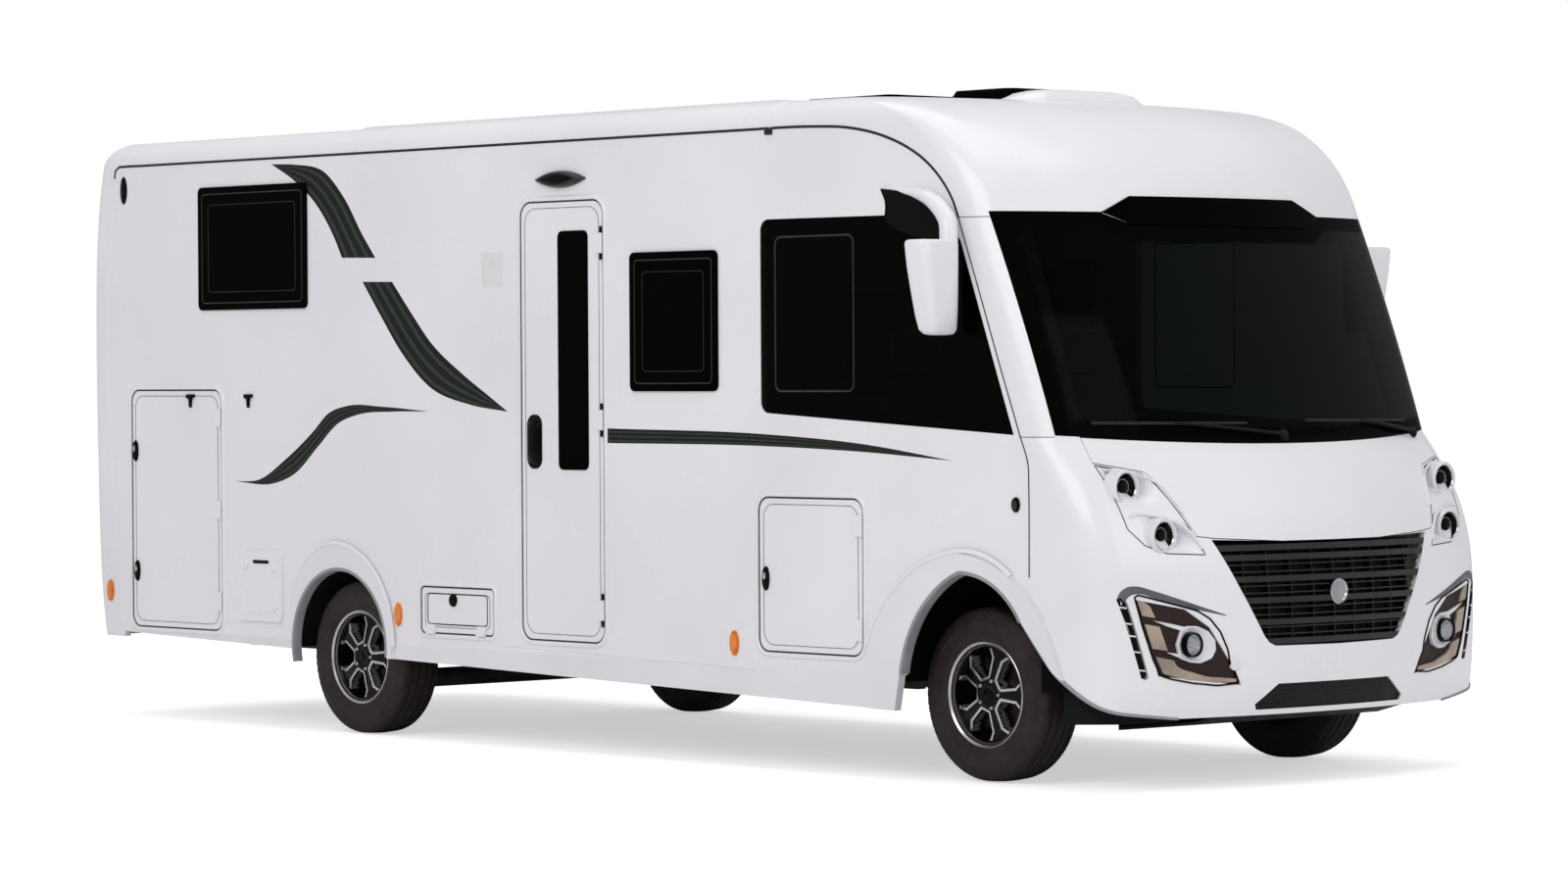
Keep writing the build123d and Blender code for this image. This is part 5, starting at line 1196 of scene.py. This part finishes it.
def build_trim():
    """Panel trim, joint lines of the cap and pillars, side blinds, splash panels and the roof fairing."""
    line = moulding(resample(PANEL_LINE, 80), strip(0.0035, 0.002, 0.003), on_front)
    add_piece("panel_line", line, CHROME)
    run_out = smooth_line(RUN_OUT, 60)
    for side, sign in SIDES.items():
        for k, line in enumerate(PANEL_TIPS):
            tip = moulding(resample(line, 30), strip(0.004, 0.002, 0.004), on_nose(sign))
            add_piece(f"panel_tip_{side}_{k}", tip, CHAMPAGNE)
        edge = np.stack([run_out[:, 0], sign * side_y(*run_out.T), run_out[:, 1]], -1)
        # grey lip along the lower edge of the front: painted shade of the edge turning under
        add_piece("bumper_lip_" + side, tube(edge, np.linspace(0.013, 0.006, 60)), LIP_SHADE_GREY)
        for name, z, start, end in JOINTS:
            y = np.linspace(1.1745, end, 30)
            bend = np.stack([front_x(y, z), sign * y, np.full(30, z)], -1)
            joint = tube(np.concatenate([((start, sign * HALF_WIDTH, z),), bend]), 0.0016, 8)
            add_piece(f"joint_{name}_{side}", joint, RUBBER)
        s, z = np.linspace(0, 1, 24), np.linspace(*BLIND_Z, 30)[:, None]
        inner = np.linspace(*BLIND_INNER, 30)[:, None]
        fold = 0.006 * np.abs(BLIND_PLEATS * (2 * s - 1) % 2 - 1)
        blind = on_front(sign * (inner + (BLIND_OUTER - inner) * s), z, -0.030 - fold)
        add_piece("side_blind_" + side, closed_sheet(blind, blind - (0.006, 0, 0)), BLIND, sharp=30)
        add_piece("splash_panel_" + side, pad(SPLASH, SPLASH_RINGS, on_level(0, sign)), GRAINED)
    over = np.linspace(0, np.pi / 2, 14)
    side_y_points = HALF_WIDTH - ROOF_EDGE_R * (1 - np.cos(over))
    rise = EAVES_Z + ROOF_EDGE_R * np.sin(over)
    y = np.concatenate([side_y_points, np.linspace(1.0, -1.0, 21), -side_y_points[::-1]])
    z = np.concatenate([rise, np.full(21, ROOF_Z), rise[::-1]])
    add_piece("cap_joint", tube(np.stack([np.full(len(y), CAP_JOINT_X), y, z], -1), 0.004, 10), GELCOAT)
    wall_pad("cap_clip", rounded_box(1.500, 1.548, 2.728, 2.750, 0.006),
             ((1, -0.001), (1, 0.006), (0.9, 0.008)),
             RUBBER)
    roof = on_level(ROOF_Z)
    add_piece("cap_hatch", pad(rounded_box(1.76, 2.14, -0.34, 0.34, 0.05), HATCH_RINGS, roof), SMOKED)
    add_piece("cap_fairing", pad(rounded_box(2.02, 2.32, -0.37, 0.37, 0.09), FAIRING_RINGS, roof), GELCOAT,
              sharp=60)


def build_lamps():
    """Fog lamps in their surrounds, the awning lamp over the door and the door handle."""
    for side, sign in SIDES.items():
        y, z, x = FOG_LAMP
        for part, finish, profile in FOG_LAMP_PARTS:
            add_piece(f"fog_{part}_{side}", lathe(profile, (x, sign * y, z), (1, 0, 0)), finish,
                      slot="lamp_lens",
                      sharp=30, replaces=("fog_lamps",))
    wall_pad("awning_lamp_body", almond(-0.066, 0.293, 2.583, 0.039),
             ((1, -0.002), (1, 0.006), (0.93, 0.020), (0.8, 0.030), (0.66, 0.032)), ANODISED,
             slot="lamp_lens",
             replaces=("awning_lamp",))
    wall_pad("awning_lamp_lens", almond(-0.005, 0.232, 2.583, 0.022),
             ((1, 0.028), (1, 0.033), (0.8, 0.036), (0.4, 0.037)), GLOSS, slot="lamp_lens")
    wall_pad("door_handle", rounded_box(-0.135, -0.033, 1.278, 1.523, 0.045),
             ((1, -0.002), (1, 0.004), (0.94, 0.008), (0.85, 0.006), (0.8, 0.012), (0.6, 0.020),
              (0.3, 0.022)), GLOSS,
             body="entry_door", replaces=("entry_door_handle",))


# ---- mirrors and fittings -----------------------------------------------------
# mirror housing: height, half depth, half width and shift outwards of each ring about its middle
MIRROR_RINGS = (
    (1.857, 0.022, 0.040, -0.044), (1.862, 0.040, 0.060, -0.040), (1.880, 0.052, 0.074, -0.034),
    (1.940, 0.060, 0.082, -0.026), (2.040, 0.066, 0.092, -0.016), (2.140, 0.069, 0.102, -0.006),
    (2.230, 0.070, 0.108, 0.0), (2.243, 0.067, 0.105, 0.0), (2.249, 0.058, 0.096, 0.0),
)
MIRROR_X, MIRROR_Y = 2.700, 1.333
MIRROR_POWER = 0.42
# x, y and z along the white arm, then its radius
MIRROR_ARM = np.array((
    (2.229, 1.168, 2.477, 0.004), (2.366, 1.176, 2.464, 0.010), (2.472, 1.190, 2.446, 0.018),
    (2.565, 1.208, 2.420, 0.029), (2.650, 1.226, 2.372, 0.036), (2.700, 1.240, 2.322, 0.038),
    (2.716, 1.250, 2.240, 0.038)))
# black wall plate behind the arm: lower and upper edge, (x, z)
MIRROR_PATCH = (((2.278, 2.393), (2.260, 2.365), (2.387, 2.285), (2.500, 2.262), (2.618, 2.254)),
                ((2.233, 2.475), (2.365, 2.458), (2.460, 2.433), (2.543, 2.394), (2.601, 2.352),
                 (2.618, 2.315),
                 (2.620, 2.256)))
# rings of low fittings
LOW_RINGS = ((1, -0.001), (1, 0.006), (0.9, 0.011), (0.6, 0.013))
MARKER_RINGS = ((1, -0.001), (1, 0.006), (0.94, 0.009), (0.84, 0.006), (0.80, 0.011), (0.5, 0.013))
# x and z of the locks on the right side, by node; the garage and locker doors have them on both sides
LOCKS = (("garage_door_", -3.261, 1.333), ("garage_door_", -3.252, 0.734), ("locker_door_", 1.492, 0.823))
MARKERS = ((-3.492, 0.628), (-1.108, 0.583), (1.284, 0.537))
CATCHES = ((-2.782, 1.606), (-2.295, 1.606))
CATCH = np.array(((-0.034, -0.006), (-0.010, -0.010), (-0.006, -0.055), (0.006, -0.055), (0.012, -0.010),
                  (0.034, -0.004), (0.034, 0.010), (-0.034, 0.010)))
# x and z range of the window panes, and inset and half width of the lines in them
WINDOW_PANES = {
    "right": ((-2.700, -1.807, 2.028, 2.631), (0.598, 1.187, 1.628, 2.242)),
    "left": ((-2.700, -1.807, 2.028, 2.631), (0.598, 1.187, 1.628, 2.242), (-0.900, 0.100, 1.560, 2.150)),
}
PANE_LINES = ((0.035, 0.0025), (0.088, 0.0015))
HINGE_X, HINGE_Y, HINGE_HALF = 0.4035, -1.187, 0.075
COVER_GROOVE = ((-2.332, 0.790), (-2.332, 0.585), (-2.308, 0.562), (-2.085, 0.562), (-2.060, 0.585),
                (-2.060, 0.815))


def build_mirrors():
    """Mirror housings that narrow downwards, on white arms from black wall plates."""
    turn = np.linspace(0, 2 * np.pi, 48, endpoint=False)
    u, v = squared(np.cos(turn), MIRROR_POWER), squared(np.sin(turn), MIRROR_POWER)
    arm = smooth_line(MIRROR_ARM[:, :3], 48)
    radii = np.interp(np.linspace(0, 1, 48), np.linspace(0, 1, len(MIRROR_ARM)), MIRROR_ARM[:, 3])
    for side, sign in SIDES.items():
        rings = [np.stack([MIRROR_X + half_x * u, sign * (MIRROR_Y + lean + half_y * v), 0 * u + z], -1)
                 for z, half_x, half_y, lean in MIRROR_RINGS]
        add_piece("mirror_housing_" + side, (np.concatenate(rings), ring_faces(len(rings), 48)), GELCOAT,
                  sharp=40,
                  replaces=("mirrors",))
        add_piece("mirror_arm_" + side, tube(arm * (1, sign, 1), radii, 24), GELCOAT, sharp=40)
        low, high = (smooth_line(line, 24) for line in MIRROR_PATCH)
        add_piece("mirror_patch_" + side, plate(low, high, on_wall(sign), -0.002, 0.0095, 24, 6), GLOSS)


def build_fittings():
    """Locks, catches, window frames, hinge covers, blank plates and the details of the service flaps."""
    locks = [(node + side, sign, x, z) for side, sign in SIDES.items() for node, x, z in LOCKS]
    for k, (node, sign, x, z) in enumerate(locks):
        wall_pad(f"lock_{k}", oval(x, z, 0.021, 0.052), LOW_RINGS, GLOSS, sign, node)
        wall_pad(f"lock_plug_{k}", oval(x, z + 0.012, 0.010, 0.016), ((1, 0.008), (1, 0.015), (0.7, 0.017)),
                 CHROME,
                 sign, node)
    wall_pad("hatch_lock", oval(-0.69, 0.662, 0.026, 0.030), LOW_RINGS, GLOSS, body="service_hatch")
    for side, sign in SIDES.items():
        wall = on_wall(sign)
        for k, (spot, body) in enumerate(zip(CATCHES, ("garage_door_" + side, "coach"))):
            wall_pad(f"catch_{side}_{k}", CATCH + spot, ((1, -0.001), (1, 0.009), (0.8, 0.012)), GLOSS, sign,
                     body)
        for k, box in enumerate(WINDOW_PANES[side]):
            for inset, width in PANE_LINES:
                line = moulding(rounded_box(*box, 0.02, inset), strip(width, 0.001, 0.0101), wall, True)
                add_piece(f"pane_line_{side}_{k}_{round(inset * 1000)}", line, ANODISED)
        pane = moulding(rounded_box(1.555, 2.05, 1.628, 2.288, 0.035), strip(0.004, 0.001, -0.0039), wall,
                        True)
        add_piece("sliding_pane_" + side, pane, ANODISED)
        wall_pad("side_repeater_" + side, oval(3.028, 1.164, 0.022, 0.031), LOW_RINGS, GLOSS, sign,
                 slot="lamp_lens")
        wall_pad("side_repeater_lens_" + side, oval(3.030, 1.162, 0.013, 0.020),
                 ((1, 0.010), (1, 0.014), (0.7, 0.016)),
                 ANODISED, sign, slot="lamp_lens")
        wall_pad("rear_plate_" + side, oval(-3.352, 2.638, 0.028, 0.068),
                 ((1, -0.001), (1, 0.004), (0.9, 0.006)),
                 GLOSS, sign)
        for k, (x, z) in enumerate(MARKERS):
            wall_pad(f"marker_{side}_{k}", oval(x, z, 0.028, 0.055), MARKER_RINGS, AMBER, sign,
                     replaces=("side_markers",))
    wall_pad("blank_label", rounded_box(-0.465, -0.312, 2.108, 2.262, 0.006),
             ((1, -0.001), (1, 0.0008), (0.99, 0.001)), LABEL)
    for k, z in enumerate((0.65, 1.5, 2.29)):
        rod = tube([(HINGE_X, HINGE_Y, z - HINGE_HALF), (HINGE_X, HINGE_Y, z + HINGE_HALF)], 0.0065, 20)
        add_piece(f"hinge_cover_{k}", rod, GLOSS, "entry_door")
    add_piece("cover_groove", moulding(COVER_GROOVE, strip(0.007, 0.004, 0.012), on_wall(-1)), GELCOAT)
    wall_pad("cover_slot", rounded_box(-2.255, -2.125, 0.795, 0.812, 0.008),
             ((1, 0.010), (1, 0.0135), (0.9, 0.014)), GRAINED)
    for k, (x, z) in enumerate(((-2.315, 0.795), (-2.083, 0.778))):
        wall_pad(f"cover_knob_{k}", circle(x, z, 0.026), ((1, 0.010), (1, 0.020), (0.8, 0.024), (0.3, 0.024)),
                 GELCOAT)
    line = moulding(rounded_box(-0.885, -0.440, 0.548, 0.690, 0.02), strip(0.003, 0.0015), on_wall(-1), True)
    add_piece("hatch_line", line, GRAINED, "service_hatch")


# ---- seats --------------------------------------------------------------------
# name, centre x and z, half depth, half width, half height, lean forwards in degrees
CUSHIONS = (
    ("squab", 2.05, 0.985, 0.235, 0.235, 0.075, 6), ("back", 1.80, 1.37, 0.075, 0.235, 0.33, 12),
    ("headrest", 1.725, 1.80, 0.05, 0.13, 0.095, 12),
)
SEAT_Y = 0.5
CUSHION_POWER = 0.45
# pads swell by at most this much
SWELL_LIMIT = 0.012
SWELL_VOXEL = 0.015
SWELL_FRAMES = 20
SWELL_PRESSURE = 4


def read_points(mesh):
    """Corners of a mesh as an array."""
    points = np.zeros(len(mesh.vertices) * 3)
    mesh.vertices.foreach_get("co", points)
    return points.reshape(-1, 3)


def swell(obj):
    """Remesh a pad evenly, inflate it as cloth, keep each move under the limit and apply the result."""
    scene = bpy.context.scene
    bpy.context.view_layer.objects.active = obj
    obj.data.remesh_voxel_size = SWELL_VOXEL
    bpy.ops.object.voxel_remesh()
    rest = read_points(obj.data)
    cloth = obj.modifiers.new("cloth", "CLOTH")
    cloth.settings.use_pressure = True
    cloth.settings.uniform_pressure_force = SWELL_PRESSURE
    cloth.settings.effector_weights.gravity = 0
    for frame_number in range(1, SWELL_FRAMES + 1):
        scene.frame_set(frame_number)
    move = read_points(obj.evaluated_get(bpy.context.evaluated_depsgraph_get()).data) - rest
    obj.modifiers.remove(cloth)
    scene.frame_set(1)
    size = np.linalg.norm(move, axis=1, keepdims=True)
    moved = rest + move * np.minimum(1, SWELL_LIMIT / np.maximum(size, 1e-9))
    obj.data.vertices.foreach_set("co", moved.ravel())
    obj.data.update()
    for polygon in obj.data.polygons:
        polygon.use_smooth = True
    round_off = obj.modifiers.new("round", "SUBSURF")
    round_off.levels = round_off.render_levels = 1


def build_seats():
    """Two padded cab seats, each of a squab, a back and a headrest."""
    turn, rise = np.meshgrid(np.linspace(0, 2 * np.pi, 64, endpoint=False),
                             np.linspace(-np.pi / 2, np.pi / 2, 33),
                             indexing="ij")
    girth = np.cos(rise) ** CUSHION_POWER
    u, v = squared(np.cos(turn), CUSHION_POWER) * girth, squared(np.sin(turn), CUSHION_POWER) * girth
    w = squared(np.sin(rise), CUSHION_POWER)
    for side, sign in SIDES.items():
        for name, cx, cz, depth, width, height, lean in CUSHIONS:
            c, s = math.cos(math.radians(lean)), math.sin(math.radians(lean))
            x, z = depth * u, height * w
            points = np.stack([cx + x * c - z * s, sign * SEAT_Y + width * v, cz + x * s + z * c], -1)
            obj = add_piece(f"seat_{name}_{side}", (points, grid_faces(64, 33, True)), CLOTH, sharp=80,
                            replaces=("seats",))
            swell(obj)


# ---- stage --------------------------------------------------------------------
EYE = np.array((17.519, -15.383, 1.717))
YAW, PITCH, ROLL = 2.41098, -0.014657, -0.005875
FOCAL_PX, CENTRE_PX, IMAGE_PX = 5084.247, (808.226, 452.414), (1600, 900)
SENSOR_MM = 36
FLOOR_HALF = 60
# share of the floor's white that it shows by itself, and the strength of the studio's light
FLOOR_GLOW = 0.55
STUDIO_LIGHT = 0.58
# name, place, target, size, power
AREA_LIGHTS = (
    ("key", (6, -14, 10), (0, 0, 1.2), (10, 8), 620), ("front_fill", (16, 0, 7), (2, 0, 1.2), (8, 8), 260),
    ("top", (0, 0, 12), (0, 0, 0), (14, 9), 420),
)


def link(name, data):
    """New object in the scene."""
    obj = bpy.data.objects.new(name, data)
    bpy.context.scene.collection.objects.link(obj)
    return obj


def build_camera():
    """Camera at the eye point, with its lens and its shift from pixels."""
    forward = np.array((math.cos(YAW) * math.cos(PITCH), math.sin(YAW) * math.cos(PITCH), math.sin(PITCH)))
    right = np.cross(forward, (0, 0, 1))
    right /= np.linalg.norm(right)
    up = np.cross(right, forward)
    data = bpy.data.cameras.new("camera")
    data.sensor_width = SENSOR_MM
    data.lens = FOCAL_PX / IMAGE_PX[0] * SENSOR_MM
    data.shift_x = (IMAGE_PX[0] / 2 - CENTRE_PX[0]) / IMAGE_PX[0]
    data.shift_y = (CENTRE_PX[1] - IMAGE_PX[1] / 2) / IMAGE_PX[0]
    camera = link("camera", data)
    axes = (right * math.cos(ROLL) + up * math.sin(ROLL), up * math.cos(ROLL) - right * math.sin(ROLL),
            -forward, EYE)
    turn = np.identity(4)
    turn[:3] = np.stack(axes, -1)
    camera.matrix_world = Matrix(turn.tolist())
    bpy.context.scene.camera = camera


def build_floor():
    """Pale floor that lets the view from below through."""
    mesh = bpy.data.meshes.new("floor_plane")
    corners = [(x * FLOOR_HALF, y * FLOOR_HALF, 0) for x, y in ((-1, -1), (1, -1), (1, 1), (-1, 1))]
    mesh.from_pydata(corners, [], [(0, 1, 2, 3)])
    # matt floor paint: even white that only the camera sees glow, so that the shadow stays soft
    name = "matt painted studio floor"
    tree, bsdf, place = start_material(name)
    seen = add_node(tree, "ShaderNodeLightPath").outputs["Is Camera Ray"]
    give(tree, bsdf,
         {"Base Color": blend(tree, noise(tree, place, 800), "f4f4f4", "f2f2f2"), "Roughness": 0.9,
                      "Specular IOR Level": 0.1, "Emission Color": (1, 1, 1, 1),
                      "Emission Strength": maths(tree, "MULTIPLY", seen, FLOOR_GLOW)})
    under = add_node(tree, "ShaderNodeNewGeometry").outputs["Backfacing"]
    clear = add_node(tree, "ShaderNodeBsdfTransparent").outputs[0]
    mix = add_node(tree, "ShaderNodeMixShader", {0: under, 1: bsdf.outputs[0], 2: clear}).outputs[0]
    output = next(node for node in tree.nodes if node.type == "OUTPUT_MATERIAL")
    give(tree, output, {"Surface": mix})
    mesh.materials.append(MATERIALS[name])
    floor = link("floor_plane", mesh)


def build_stage():
    """Camera, pale floor and soft studio light."""
    scene = bpy.context.scene
    build_camera()
    build_floor()
    world = bpy.data.worlds.new("studio")
    world.use_nodes = True
    tree = world.node_tree
    tree.nodes.clear()
    seen = add_node(tree, "ShaderNodeLightPath").outputs["Is Camera Ray"]
    white = add_node(tree, "ShaderNodeBackground", {"Color": (1, 1, 1, 1), "Strength": 1.0}).outputs[0]
    lit = add_node(tree, "ShaderNodeBackground",
                   {"Color": (0.97, 0.96, 1, 1), "Strength": STUDIO_LIGHT}).outputs[0]
    mix = add_node(tree, "ShaderNodeMixShader", {0: seen, 1: lit, 2: white}).outputs[0]
    add_node(tree, "ShaderNodeOutputWorld", {"Surface": mix})
    scene.world = world
    for name, spot, target, size, power in AREA_LIGHTS:
        light = bpy.data.lights.new(name, "AREA")
        light.shape = "RECTANGLE"
        light.size, light.size_y = size
        light.energy = power
        obj = link(name, light)
        obj.location = spot
        obj.rotation_euler = (Vector(target) - Vector(spot)).to_track_quat("-Z", "Y").to_euler()
    scene.view_settings.view_transform = "Standard"


# ---- add-on -------------------------------------------------------------------
class StepOperator:
    """Common part of the operators: run one builder and report back."""

    bl_options = {"REGISTER", "UNDO"}

    def execute(self, context):
        """Build the group; any fault stops the run."""
        type(self).build()
        return {"FINISHED"}


def step_operator(key, label, builder):
    """Operator class for one builder, with its docstring."""
    return type("MOTORHOME_OT_" + key, (StepOperator, bpy.types.Operator), {
        "bl_idname": "motorhome." + key, "bl_label": label, "__doc__": builder.__doc__,
        "build": staticmethod(builder)})


STEPS = (
    ("materials", "Materials", make_materials), ("shell", "Shell", build_shell),
    ("wheels", "Wheels", build_wheels),
    ("stripes", "Stripes", build_stripes), ("seals", "Seals", build_seals),
    ("headlamps", "Headlamps", build_headlamps),
    ("front", "Front", build_front), ("fog", "Fog lamp recesses", build_fog),
    ("trim", "Trim and joints", build_trim),
    ("lamps", "Lamps", build_lamps), ("mirrors", "Mirrors", build_mirrors),
    ("fittings", "Fittings", build_fittings),
    ("seats", "Seats", build_seats), ("stage", "Stage", build_stage),
)
OPERATORS = [step_operator(*row) for row in STEPS]


class MOTORHOME_PT_panel(bpy.types.Panel):
    """Sizes, colours and build buttons in the sidebar."""

    bl_label = "Motorhome"
    bl_idname = "MOTORHOME_PT_panel"
    bl_space_type = "VIEW_3D"
    bl_region_type = "UI"
    bl_category = "Motorhome"

    def draw(self, context):
        """List the settings and one button for each step."""
        for settings in (context.scene.motorhome_sizes, context.scene.motorhome_colours):
            for key in settings.bl_rna.properties.keys():
                if key not in ("rna_type", "name"):
                    self.layout.prop(settings, key)
        for key, label, _ in STEPS:
            self.layout.operator("motorhome." + key, text=label)


CLASSES = (MotorhomeSizes, MotorhomeColours, *OPERATORS, MOTORHOME_PT_panel)


def register():
    """Add the classes and the scene's settings."""
    for item in CLASSES:
        bpy.utils.register_class(item)
    bpy.types.Scene.motorhome_sizes = bpy.props.PointerProperty(type=MotorhomeSizes)
    bpy.types.Scene.motorhome_colours = bpy.props.PointerProperty(type=MotorhomeColours)


def unregister():
    """Remove the settings and the classes."""
    del bpy.types.Scene.motorhome_sizes
    del bpy.types.Scene.motorhome_colours
    for item in reversed(CLASSES):
        bpy.utils.unregister_class(item)


def main():
    """Register the add-on, run every step in order and write the two sizes."""
    register()
    for key, _, _ in STEPS:
        getattr(bpy.ops.motorhome, key)()


if __name__ == "__main__":
    main()
